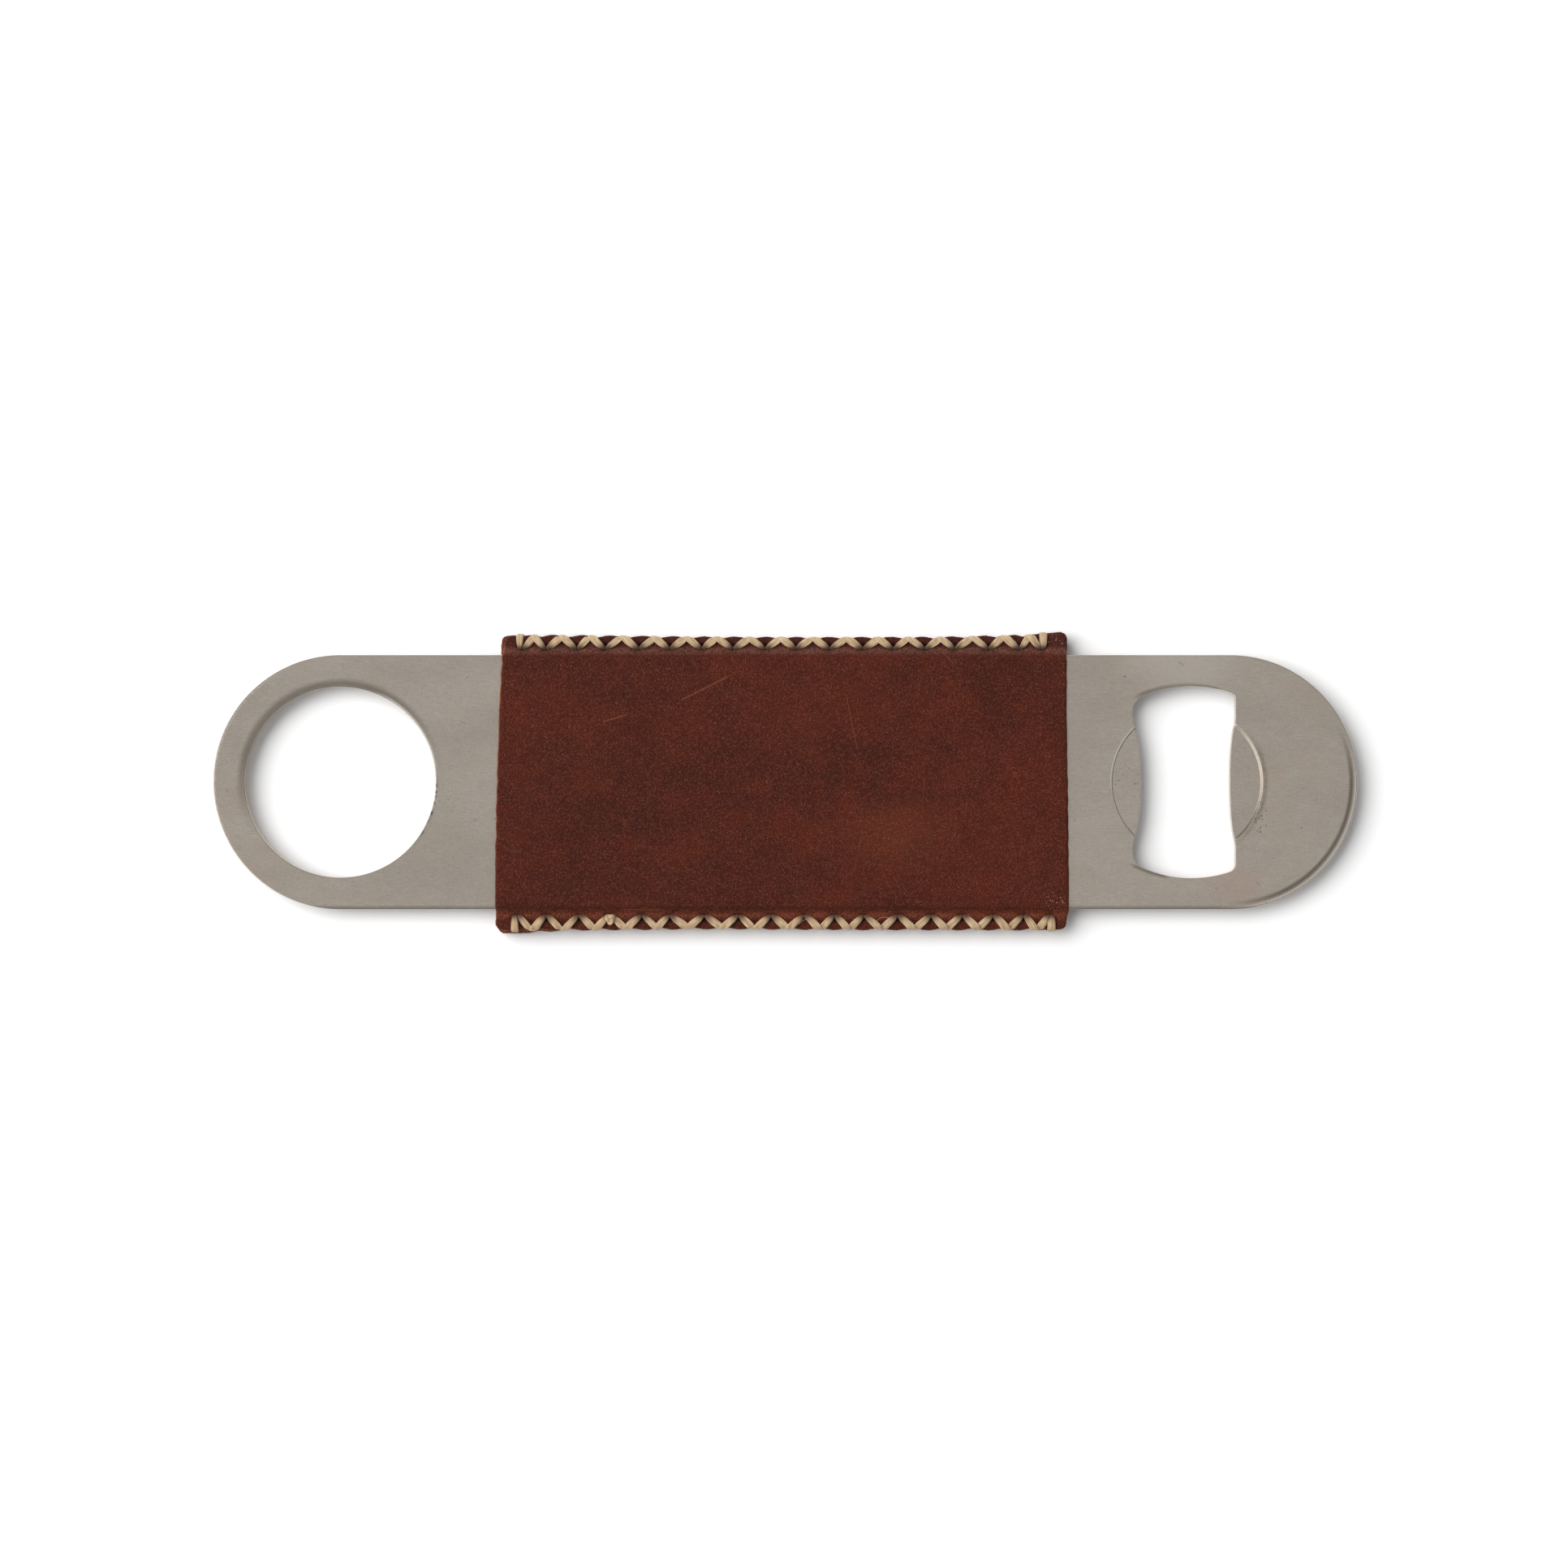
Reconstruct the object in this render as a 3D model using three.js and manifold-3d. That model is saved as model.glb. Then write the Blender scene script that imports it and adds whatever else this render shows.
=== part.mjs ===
// Flat bar-style bottle opener with a stitched leather sleeve round its middle.
//
// Units are millimetres. +X runs from the finger ring towards the cap slot, +Y across the blade and
// +Z up from the surface that the opener lies on. The origin is on that surface, under the middle
// of the blade. The sleeve is two flat hides, one over and one under the blade, whose long edges
// meet past the blade's sides and are whipped together with one thread along each side.
import * as THREE from "three";
import { mergeVertices } from "three/addons/utils/BufferGeometryUtils.js";
import Module from "manifold-3d";

// Blade: a steel strip with two round ends.
const bladeLength = 180;
const bladeWidth = 40;
const bladeThickness = 2;
const rimBevel = 0.25; // broken edge all round the blade and the ring hole
const ringHoleDiameter = 30;

// Cap slot, through the blade near its other end. Its long axis lies across the blade.
const slotSetback = 27.25; // from the end of the blade to the middle of the slot
const slotWidth = 16.1; // along X, above and below the two lips
const slotHeight = 30.2; // along Y, to the crown of the arches
const archRadius = 19; // the slot's curved top and bottom edges
const archShift = 1.2; // the crown lies this far towards the end of the blade
const innerCornerRadius = 2.5; // the two corners on the sleeve's side
const outerCornerRadius = 1.2; // the two corners on the blade's end
const innerLipHeight = 1.35; // how far each lip stands into the slot
const outerLipHeight = 0.85;
const lipHalfLength = 10.5; // along Y, where a lip has run out into the wall
const lipWallHold = 0.8; // the lip's curve keeps to the wall over this share of that length
const lipCrestHold = 0.75; // and to the crest over this share

// Pressed disc round the lips: a shallow round seat that is deeper towards the blade's end.
const pressRadius = 11.9;
const pressShift = 0.5; // the disc's middle, from the middle of the slot
const pressWall = 0.5; // the width of its sloping wall
const pressDepthInner = 0.15;
const pressDepthOuter = 0.6;

// Leather sleeve: it covers the grip between the ring hole and the pressed disc.
const ringToSleeve = 9.5; // bare steel between the ring hole and the sleeve
const sleeveToPress = 6.85; // bare steel between the sleeve and the pressed disc
const leatherThickness = 1.3;
const leatherGap = 0.1; // between the leather and the steel
const flangeWidth = 2.9; // leather past each side of the blade
const flangeGap = 0.1; // between the two hides where they meet
const bendStart = 0.8; // the leather starts to fall this far inside the blade's side
const bendEnd = 0.8; // and lies flat again this far outside it

// Seams: a flat thread whipped over the edge, out along the seam and back through the same holes.
const stitchPitch = 5;
const endStitchPitch = 3.9; // the last stitch at each end is closer
const seamEndMargin = 3.6; // from the end of the sleeve to the last hole
const seamSetback = 1.5; // from the leather's long edge to the line of holes
const threadWidth = 1.2;
const threadThickness = 0.5;
const threadGap = 0.1; // between the thread and the leather that it lies on
const holeClearance = 0.2; // round the threads in each hole
const postDepth = 1; // the two threads in a hole, across the seam
const knotSize = 1.5; // the tied knot of the lower seam
const knotHeight = 0.45; // it stands this far off the strand that it is tied in
const knotHole = 3; // tied beside the fourth hole, counted from the finger ring

// Facets: how many straight steps stand for each curve.
const rimSteps = 32; // a half circle of the blade or the ring hole
const slotSteps = 8; // an arc, or half of a lip, of the slot
const pressSteps = 48; // the whole pressed disc

// Levels and places worked out from the sizes above
const midHeight = leatherThickness + leatherGap + bladeThickness / 2;
const bladeHalfWidth = bladeWidth / 2;
const leatherHalfWidth = bladeHalfWidth + flangeWidth;
const seamLine = leatherHalfWidth - seamSetback;
const endCentre = bladeLength / 2 - bladeHalfWidth;
const slotCentre = bladeLength / 2 - slotSetback;
const pressCentre = slotCentre + pressShift;
const sleeveStart = -endCentre + ringHoleDiameter / 2 + ringToSleeve;
const sleeveEnd = pressCentre - pressRadius - sleeveToPress;
const sleeveLength = sleeveEnd - sleeveStart;
const sleeveMiddle = (sleeveStart + sleeveEnd) / 2;
const flangeHalfHeight = flangeGap / 2 + leatherThickness;
const threadInner = flangeHalfHeight + threadGap;
const threadOuter = threadInner + threadThickness;
const cutOverrun = 1; // a cutter runs past the blade's faces by this much

const wasm = await Module();
wasm.setup();

// A three.js geometry as a manifold-3d solid.
function solid(geometry) {
  const bare = geometry.index ? geometry.toNonIndexed() : geometry.clone();
  bare.deleteAttribute("normal");
  bare.deleteAttribute("uv");
  const merged = mergeVertices(bare, 1e-4);
  const vertProperties = new Float32Array(merged.attributes.position.array);
  const triVerts = new Uint32Array(merged.index.array);
  return new wasm.Manifold(new wasm.Mesh({ numProp: 3, vertProperties, triVerts }));
}

// A manifold-3d solid as a flat-shaded three.js geometry.
function geometryOf(body) {
  const mesh = body.getMesh();
  const geometry = new THREE.BufferGeometry();
  geometry.setAttribute("position", new THREE.BufferAttribute(mesh.vertProperties, 3));
  geometry.setIndex(new THREE.BufferAttribute(mesh.triVerts, 1));
  const flat = geometry.toNonIndexed();
  flat.computeVertexNormals();
  return flat;
}

// An outline in the XY plane as a solid between two heights.
function plate(outline, low, high) {
  const geometry = new THREE.ExtrudeGeometry(outline, {
    depth: high - low,
    bevelEnabled: false,
    curveSegments: slotSteps,
  });
  geometry.translate(0, 0, low);
  return solid(geometry);
}

// A box between two corners.
function block(low, high) {
  const size = high.map((value, axis) => value - low[axis]);
  const middle = high.map((value, axis) => (value + low[axis]) / 2);
  const geometry = new THREE.BoxGeometry(...size);
  geometry.translate(...middle);
  return solid(geometry);
}

function join(bodies) {
  return bodies.reduce((whole, body) => whole.add(body));
}

function steel() {
  return new THREE.MeshStandardMaterial({ color: 0x9c9488, roughness: 0.42, metalness: 1 });
}

function hide() {
  return new THREE.MeshStandardMaterial({ color: 0x56261e, roughness: 0.55, metalness: 0 });
}

function waxedThread() {
  return new THREE.MeshStandardMaterial({ color: 0xc8af82, roughness: 0.75, metalness: 0 });
}

// The strip's outline: two straight sides and two half circles, with the round ring hole.
function stripOutline() {
  const outline = new THREE.Shape();
  outline.absarc(endCentre, 0, bladeHalfWidth, -Math.PI / 2, Math.PI / 2, false);
  outline.absarc(-endCentre, 0, bladeHalfWidth, Math.PI / 2, (3 * Math.PI) / 2, false);
  outline.closePath();
  const hole = new THREE.Path();
  hole.absarc(-endCentre, 0, ringHoleDiameter / 2, 0, Math.PI, false);
  hole.absarc(-endCentre, 0, ringHoleDiameter / 2, Math.PI, 2 * Math.PI, false);
  outline.holes.push(hole);
  return outline;
}

// One upper corner of the slot: an arc that touches the straight side wall and the arch.
// side is -1 towards the sleeve and +1 towards the end of the blade.
function slotCorner(side, radius) {
  const x = side * (slotWidth / 2 - radius);
  const archCentre = slotHeight / 2 - archRadius;
  const reach = archRadius - radius;
  const rise = Math.sqrt(reach ** 2 - (x - archShift) ** 2);
  const y = archCentre + rise;
  return { x, y, radius, angle: Math.atan2(rise, x - archShift) };
}

// A lip, along its wall from one end to the other: it swells smoothly into the slot.
// direction is +1 where the outline runs towards +Y and -1 where it runs back.
function addLip(path, side, height, direction) {
  const wall = slotCentre + side * (slotWidth / 2);
  const crest = wall - side * height;
  const end = direction * lipHalfLength;
  const wallHold = end * lipWallHold;
  const crestHold = end * lipCrestHold;
  path.lineTo(wall, -end);
  path.bezierCurveTo(wall, -wallHold, crest, -crestHold, crest, 0);
  path.bezierCurveTo(crest, crestHold, wall, wallHold, wall, end);
}

// The cap slot: two lips that face each other, and two arched ends with rounded corners.
function slotOutline() {
  const outer = slotCorner(1, outerCornerRadius);
  const inner = slotCorner(-1, innerCornerRadius);
  const arch = slotHeight / 2 - archRadius;
  const path = new THREE.Shape();
  path.moveTo(slotCentre + slotWidth / 2, -outer.y);
  addLip(path, 1, outerLipHeight, 1);
  path.absarc(slotCentre + outer.x, outer.y, outer.radius, 0, outer.angle, false);
  path.absarc(slotCentre + archShift, arch, archRadius, outer.angle, inner.angle, false);
  path.absarc(slotCentre + inner.x, inner.y, inner.radius, inner.angle, Math.PI, false);
  addLip(path, -1, innerLipHeight, -1);
  path.absarc(slotCentre + inner.x, -inner.y, inner.radius, Math.PI, -inner.angle, false);
  path.absarc(slotCentre + archShift, -arch, archRadius, -inner.angle, -outer.angle, false);
  path.absarc(slotCentre + outer.x, -outer.y, outer.radius, -outer.angle, 0, false);
  return path;
}

// A round plug for the pressed disc, tilted so that its face is deeper towards the blade's end.
// Its face lies below the level given, and its wall slopes outwards from the face to the top.
function pressPlug(level, height) {
  const depth = (pressDepthInner + pressDepthOuter) / 2;
  const tilt = Math.asin((pressDepthOuter - pressDepthInner) / (2 * pressRadius));
  const wallRun = (pressWall * (height + depth)) / depth;
  const floorRadius = pressRadius - pressWall;
  const profile = [
    new THREE.Vector2(0, -depth),
    new THREE.Vector2(floorRadius, -depth),
    new THREE.Vector2(floorRadius + wallRun, height),
    new THREE.Vector2(0, height),
  ];
  const geometry = new THREE.LatheGeometry(profile, pressSteps);
  geometry.rotateX(Math.PI / 2);
  geometry.rotateY(tilt);
  geometry.translate(pressCentre, 0, level);
  return solid(geometry);
}

function openerBlade() {
  const bottom = midHeight - bladeThickness / 2;
  const top = midHeight + bladeThickness / 2;
  const strip = new THREE.ExtrudeGeometry(stripOutline(), {
    depth: bladeThickness - 2 * rimBevel,
    bevelEnabled: true,
    bevelSegments: 1,
    bevelThickness: rimBevel,
    bevelSize: rimBevel,
    bevelOffset: -rimBevel,
    curveSegments: rimSteps,
  });
  strip.translate(0, 0, bottom + rimBevel);
  // The metal pressed out of the seat stands proud by the same depth underneath.
  const boss = pressPlug(bottom, bladeThickness / 4);
  const seat = pressPlug(top, rimBevel);
  const slot = plate(slotOutline(), bottom - cutOverrun, top + cutOverrun);
  const body = solid(strip).add(boss).subtract(seat).subtract(slot);
  const mesh = new THREE.Mesh(geometryOf(body), steel());
  mesh.name = "opener_blade";
  return mesh;
}

// The X places of the holes along a seam, the same on both sides of the sleeve.
function holePlaces() {
  const run = sleeveLength - 2 * (seamEndMargin + endStitchPitch);
  const steps = Math.floor(run / stitchPitch + 1e-6);
  const first = sleeveMiddle - (steps * stitchPitch) / 2;
  const last = sleeveMiddle + (steps * stitchPitch) / 2;
  const places = Array.from({ length: steps + 1 }, (_, step) => first + step * stitchPitch);
  return [first - endStitchPitch, ...places, last + endStitchPitch];
}

// Half of a hide's section, from the middle of the blade out to one long edge. Each point is how
// far it lies from the middle of the blade and how far from the plane between the two hides.
function hideSection() {
  const outside = midHeight;
  const inside = outside - leatherThickness;
  const side = bladeHalfWidth;
  return [
    [side - bendStart, outside],
    [side + bendEnd, flangeHalfHeight],
    [leatherHalfWidth, flangeHalfHeight],
    [leatherHalfWidth, flangeGap / 2],
    [side + bendEnd, flangeGap / 2],
    [side + leatherGap, inside],
  ];
}

// One hide: its section carried along the sleeve, with a row of holes along both edges.
// face is +1 for the front hide and -1 for the back one.
function leatherPanel(name, face) {
  const half = hideSection();
  const mirrored = half.map(([across, height]) => [-across, height]).reverse();
  const outline = new THREE.Shape(
    [...half, ...mirrored].map(([across, height]) => new THREE.Vector2(across, face * height)),
  );
  const geometry = new THREE.ExtrudeGeometry(outline, {
    depth: sleeveLength,
    bevelEnabled: false,
  });
  // The section's first axis becomes +Y and its second +Z, and its length runs along +X.
  geometry.rotateX(Math.PI / 2);
  geometry.rotateZ(Math.PI / 2);
  geometry.translate(sleeveStart, 0, midHeight);
  const halfX = threadWidth / 2 + holeClearance;
  const halfY = postDepth / 2 + holeClearance;
  const holes = [];
  for (const x of holePlaces()) {
    for (const side of [-1, 1]) {
      holes.push(block(
        [x - halfX, side * seamLine - halfY, 0],
        [x + halfX, side * seamLine + halfY, 2 * midHeight],
      ));
    }
  }
  const body = solid(geometry).subtract(join(holes));
  const mesh = new THREE.Mesh(geometryOf(body), hide());
  mesh.name = name;
  return mesh;
}

// The thread on one face of the leather: from every hole it slants both ways to the edge.
// Inner corners lie at the holes, outer corners at the edge half way between two holes.
function zigzag(places, inner, outer) {
  const halfGap = stitchPitch / 2;
  const slope = halfGap / (outer - inner);
  const halfWidth = (threadWidth / 2) * Math.hypot(1, slope);
  const notch = halfWidth / slope;
  const middles = places.slice(1).map((x, index) => (x + places[index]) / 2);
  const lower = [];
  const upper = [];
  places.forEach((x, index) => {
    lower.push([x - halfWidth, inner], [x + halfWidth, inner]);
    upper.push([x, inner + notch]);
    if (index < middles.length) {
      const middle = middles[index];
      lower.push([middle, outer - notch]);
      upper.push([middle - halfWidth, outer], [middle + halfWidth, outer]);
    }
  });
  // The straight strand over the edge at each end of the seam.
  const first = places[0] - halfWidth;
  const last = places[places.length - 1] + halfWidth;
  const firstUpper = [[first, outer], [first + threadWidth, outer]];
  const lastUpper = [[last - threadWidth, outer], [last, outer]];
  const around = [...lower, ...[...firstUpper, ...upper, ...lastUpper].reverse()];
  return { outline: around, middles, halfWidth, first, last };
}

// One seam's thread as a single body: a zigzag on each face, a bridge over the edge at every outer
// corner and at both ends, and the two threads that pass through each hole.
// side is +1 for the upper seam and -1 for the lower one.
function seamThread(name, side, withKnot) {
  const places = holePlaces();
  const inner = seamLine - threadWidth / 2;
  const edge = leatherHalfWidth + threadGap;
  const outer = edge + threadThickness;
  const strands = zigzag(places, inner, outer);
  const outline = new THREE.Shape(
    strands.outline.map(([x, y]) => new THREE.Vector2(x, side * y)),
  );
  const across = (low, high) => (side > 0 ? [low, high] : [-high, -low]);
  const bodies = [
    plate(outline, midHeight + threadInner, midHeight + threadOuter),
    plate(outline, midHeight - threadOuter, midHeight - threadInner),
  ];
  const bridges = [
    ...strands.middles.map((x) => [x - strands.halfWidth, x + strands.halfWidth]),
    [strands.first, strands.first + threadWidth],
    [strands.last - threadWidth, strands.last],
  ];
  for (const [from, to] of bridges) {
    const [low, high] = across(edge, outer);
    bodies.push(block([from, low, midHeight - threadOuter], [to, high, midHeight + threadOuter]));
  }
  for (const x of places) {
    const [low, high] = across(seamLine - postDepth / 2, seamLine + postDepth / 2);
    bodies.push(block(
      [x - threadWidth / 2, low, midHeight - threadOuter],
      [x + threadWidth / 2, high, midHeight + threadOuter],
    ));
  }
  if (withKnot) {
    const x = places[knotHole];
    const [low, high] = across(inner, inner + knotSize);
    bodies.push(block(
      [x - knotSize / 2, low, midHeight + threadInner],
      [x + knotSize / 2, high, midHeight + threadOuter + knotHeight],
    ));
  }
  const mesh = new THREE.Mesh(geometryOf(join(bodies)), waxedThread());
  mesh.name = name;
  return mesh;
}

const opener = new THREE.Group();
opener.add(openerBlade());

const sleeve = new THREE.Group();
sleeve.add(leatherPanel("front_leather_panel", 1));
sleeve.add(leatherPanel("back_leather_panel", -1));
sleeve.add(seamThread("upper_seam_thread", 1, false));
sleeve.add(seamThread("lower_seam_thread", -1, true));
opener.add(sleeve);

export default opener;
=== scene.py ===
# %% [markdown]
# # A flat bottle opener in a stitched leather sleeve
#
# The object is a strip of steel with a finger ring at one end and a cap slot at the other. Two
# pieces of leather lie over and under its grip, and a flat waxed thread joins them along both
# sides. Every surface below is worked out with numpy, in millimetres, in the frame of the packed
# model: +X runs from the ring to the slot, +Y across the blade and +Z up from the table.

import math

import bmesh
import bpy
import numpy as np
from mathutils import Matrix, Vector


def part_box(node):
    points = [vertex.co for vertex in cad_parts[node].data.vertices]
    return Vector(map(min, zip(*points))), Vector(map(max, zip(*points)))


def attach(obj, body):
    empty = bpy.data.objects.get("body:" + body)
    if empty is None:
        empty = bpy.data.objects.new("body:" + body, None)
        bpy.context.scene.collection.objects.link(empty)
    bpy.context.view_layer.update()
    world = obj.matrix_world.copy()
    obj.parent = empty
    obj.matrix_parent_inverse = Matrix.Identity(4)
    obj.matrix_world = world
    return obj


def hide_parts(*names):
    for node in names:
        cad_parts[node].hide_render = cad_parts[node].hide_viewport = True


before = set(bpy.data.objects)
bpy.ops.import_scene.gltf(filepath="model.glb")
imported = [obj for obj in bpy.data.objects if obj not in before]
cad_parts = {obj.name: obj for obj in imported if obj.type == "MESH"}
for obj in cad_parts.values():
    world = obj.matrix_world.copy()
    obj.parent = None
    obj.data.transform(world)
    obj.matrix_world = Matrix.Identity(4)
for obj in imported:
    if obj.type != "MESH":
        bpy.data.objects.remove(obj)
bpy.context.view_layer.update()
MM = 0.001  # metres in a millimetre


def node_box(name):
    """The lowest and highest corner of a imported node, in millimetres."""
    return [np.array(corner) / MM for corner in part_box(name)]


blade_low, blade_high = node_box("opener_blade")
hide_low, hide_high = node_box("front_leather_panel")
back_low, back_high = node_box("back_leather_panel")
BLADE_TOP = blade_high[2]
BLADE_THICKNESS = 2.0
HALF_WIDTH = blade_high[1]
RING_X, END_X = blade_low[0] + HALF_WIDTH, blade_high[0] - HALF_WIDTH
MIDDLE = (back_low[2] + hide_high[2]) / 2  # the plane between the two hides
print("blade", blade_low, blade_high, "middle plane", MIDDLE)

# %% [markdown]
# ## Camera, floor and light
#
# The camera hangs straight above the opener, as on a copy stand. A long lens keeps the walls of
# the slot nearly hidden. The light is one big soft box to the upper left. A grey sky, brighter
# overhead, fills the shadows. The floor is nearly white, so that only soft contact shadows show.
#
# Flat steel mirrors whatever lies above it, and a lamp would draw a bright patch at one end. The
# lamp is therefore hidden from reflections, and the steel mirrors the sky instead. Its colour was
# chosen under this dim sky, and under a brighter one it will look paler.

# %% The camera on its stand
scene = bpy.context.scene
scene.view_settings.view_transform = "Standard"
camera_data = bpy.data.cameras.new("copy_stand_camera")
camera_data.lens = 100
camera_data.sensor_width = 36
camera_data.clip_start = 0.01
camera_data.clip_end = 20
camera = bpy.data.objects.new("copy_stand_camera", camera_data)
CAMERA_HEIGHT = 685  # above the top of the blade
camera.location = (-0.19 * MM, -0.29 * MM, (BLADE_TOP + CAMERA_HEIGHT) * MM)
scene.collection.objects.link(camera)
scene.camera = camera

# %% Floor, soft box and sky
floor_mesh = bpy.data.meshes.new("table_top")
FLOOR = 3.0
floor_mesh.from_pydata([(-FLOOR, -FLOOR, 0), (FLOOR, -FLOOR, 0), (FLOOR, FLOOR, 0), (-FLOOR, FLOOR, 0)],
                       [], [(0, 1, 2, 3)])
floor = bpy.data.objects.new("table_top", floor_mesh)
scene.collection.objects.link(floor)
floor_paint = bpy.data.materials.new("white_table")
floor_paint.use_nodes = True
floor_paint.node_tree.nodes["Principled BSDF"].inputs["Base Color"].default_value = (0.92, 0.92, 0.92, 1)
floor_paint.node_tree.nodes["Principled BSDF"].inputs["Roughness"].default_value = 0.9
floor_paint.node_tree.nodes["Principled BSDF"].inputs["Specular IOR Level"].default_value = 0.0
floor_mesh.materials.append(floor_paint)

soft_box_data = bpy.data.lights.new("soft_box", "AREA")
soft_box_data.shape = "SQUARE"
soft_box_data.size = 2.1
soft_box_data.energy = 66
soft_box = bpy.data.objects.new("soft_box", soft_box_data)
LIGHT_ELEVATION, LIGHT_AZIMUTH, LIGHT_DISTANCE = math.radians(49), math.radians(151), 2.3
light_way = np.array([math.cos(LIGHT_ELEVATION) * math.cos(LIGHT_AZIMUTH),
                      math.cos(LIGHT_ELEVATION) * math.sin(LIGHT_AZIMUTH), math.sin(LIGHT_ELEVATION)])
soft_box.location = light_way * LIGHT_DISTANCE
soft_box.rotation_euler = soft_box.location.to_track_quat("Z", "Y").to_euler()
scene.collection.objects.link(soft_box)
soft_box.visible_glossy = False

sky = bpy.data.worlds.new("grey_sky")
sky.use_nodes = True
sky.node_tree.nodes["Background"].inputs["Color"].default_value = (1.0, 1.0, 1.0, 1)
direction = sky.node_tree.nodes.new("ShaderNodeTexCoord").outputs["Generated"]


def sky_glow(middle, edge, full, dim, bright):
    """Light of the sky round a direction: dim where the direction's share along middle is below
    edge, bright where it is above full, and a straight line between."""
    toward = sky.node_tree.nodes.new("ShaderNodeVectorMath")
    toward.operation = "DOT_PRODUCT"
    toward.inputs[1].default_value = middle
    sky.node_tree.links.new(direction, toward.inputs[0])
    glow = sky.node_tree.nodes.new("ShaderNodeMapRange")
    for socket, value in ((1, edge), (2, full), (3, dim), (4, bright)):
        glow.inputs[socket].default_value = value
    sky.node_tree.links.new(toward.outputs["Value"], glow.inputs[0])
    return glow.outputs[0]


# The ceiling glows overhead, a little towards the side of the soft box, so that the steel looks
# even from end to end. A bright wall low on the same side lights the edges that face it.
ceiling_glow = sky_glow((-0.16, 0.14, 0.97), 0.3, 0.85, 0.19, 0.52)
wall_glow = sky_glow((-0.93, -0.25, 0.26), 0.72, 0.95, 0.0, 1.3)
both = sky.node_tree.nodes.new("ShaderNodeMath")
sky.node_tree.links.new(ceiling_glow, both.inputs[0])
sky.node_tree.links.new(wall_glow, both.inputs[1])
sky.node_tree.links.new(both.outputs[0], sky.node_tree.nodes["Background"].inputs["Strength"])
scene.world = sky
print("camera at", tuple(round(v, 4) for v in camera.location))

# %% [markdown]
# ## Helpers for surfaces
#
# A surface here is a grid of points, row by row, and its faces join each point to its neighbours.
# Closed shapes are made from several grids that share their border points, which are then welded.

# %% Grids, meshes and welding


def ease(value):
    """0 below 0, 1 above 1 and 3v²-2v³ between, so that it starts and ends level."""
    v = np.clip(value, 0, 1)
    return v * v * (3 - 2 * v)


def grid_faces(rows, columns, closed=False, first=0):
    """Four-cornered faces of a grid whose point (r, c) has the number first + r·columns + c.
    closed also joins the last column to the first."""
    r = np.arange(rows - 1)[:, None]
    c = np.arange(columns if closed else columns - 1)[None, :]
    here, right = r * columns + c, r * columns + (c + 1) % columns
    return first + np.stack([here, right, right + columns, here + columns], -1).reshape(-1, 4)


def new_piece(name, points, faces, weld=0.001, values=None, uv=None):
    """A mesh object from points in millimetres and faces. Points closer than weld become one, the
    faces are turned outwards, and values holds one number for each point under each name."""
    mesh = bpy.data.meshes.new(name)
    mesh.vertices.add(len(points))
    mesh.vertices.foreach_set("co", (points * MM).astype(np.float32).ravel())
    mesh.loops.add(faces.size)
    mesh.loops.foreach_set("vertex_index", faces.astype(np.int32).ravel())
    mesh.polygons.add(len(faces))
    mesh.polygons.foreach_set("loop_start", np.arange(0, faces.size, 4, dtype=np.int32))
    mesh.update(calc_edges=True)
    for label, numbers in (values or {}).items():
        layer = mesh.attributes.new(label, "FLOAT", "POINT")
        layer.data.foreach_set("value", numbers.astype(np.float32).ravel())
    if uv is not None:
        mesh.uv_layers.new(name="thread_uv").data.foreach_set("uv", uv.astype(np.float32).ravel())
    shape = bmesh.new()
    shape.from_mesh(mesh)
    bmesh.ops.remove_doubles(shape, verts=shape.verts, dist=weld * MM)
    bmesh.ops.recalc_face_normals(shape, faces=shape.faces)
    open_edges = sum(1 for edge in shape.edges if not edge.is_manifold)
    volume = shape.calc_volume(signed=True)
    shape.to_mesh(mesh)
    shape.free()
    mesh.polygons.foreach_set("use_smooth", np.ones(len(mesh.polygons), dtype=bool))
    mesh.update()
    piece = bpy.data.objects.new(name, mesh)
    scene.collection.objects.link(piece)
    print(f"{name}: {len(mesh.polygons)} faces, {open_edges} open edges, {volume * 1e9:.0f} mm3")
    return piece


# %% [markdown]
# ## The blade
#
# A real blade is stamped from strip: the press cuts the outline, the ring hole and the slot, then
# sinks a shallow round seat. Tumbling rolls its edges over. A boolean cut would leave sharp edges
# and long thin faces, so the blade is made of rays instead. One fan of rays runs out from the
# middle of the ring hole and one from the middle of the slot. They meet on a line under the
# sleeve, and a rolled rim is carried round the outside.

# %% Outline of the cap slot
SLOT_X = END_X - 7.25
SLOT_HALF_WIDTH, SLOT_HALF_HEIGHT = 8.05, 15.1
ARCH_RADIUS, ARCH_SHIFT = 19.0, 1.2


def arc(x, y, radius, start, end, steps=40):
    """Points on a circle about (x, y), from one angle to another."""
    angle = np.linspace(start, end, steps)
    return np.stack([x + radius * np.cos(angle), y + radius * np.sin(angle)], 1)


def slot_corner(side, radius):
    """The middle of a corner arc that touches a side wall and the arch, and the angle, seen from
    the middle of the arch, where it meets the arch."""
    x = side * (SLOT_HALF_WIDTH - radius)
    rise = math.sqrt((ARCH_RADIUS - radius) ** 2 - (x - ARCH_SHIFT) ** 2)
    return x, SLOT_HALF_HEIGHT - ARCH_RADIUS + rise, math.atan2(rise, x - ARCH_SHIFT)


def lip(side, height):
    """Upper half of a lip, from its crest at the middle to the wall: a cubic curve that leaves
    the crest and reaches the wall level."""
    t = np.linspace(0, 1, 60)[:, None]
    wall = side * SLOT_HALF_WIDTH
    crest = wall - side * height
    a, b, c, d = (np.array(p) for p in ((crest, 0), (crest, 7.875), (wall, 8.4), (wall, 10.5)))
    return (1 - t) ** 3 * a + 3 * t * (1 - t) ** 2 * b + 3 * t * t * (1 - t) * c + t ** 3 * d


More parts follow.
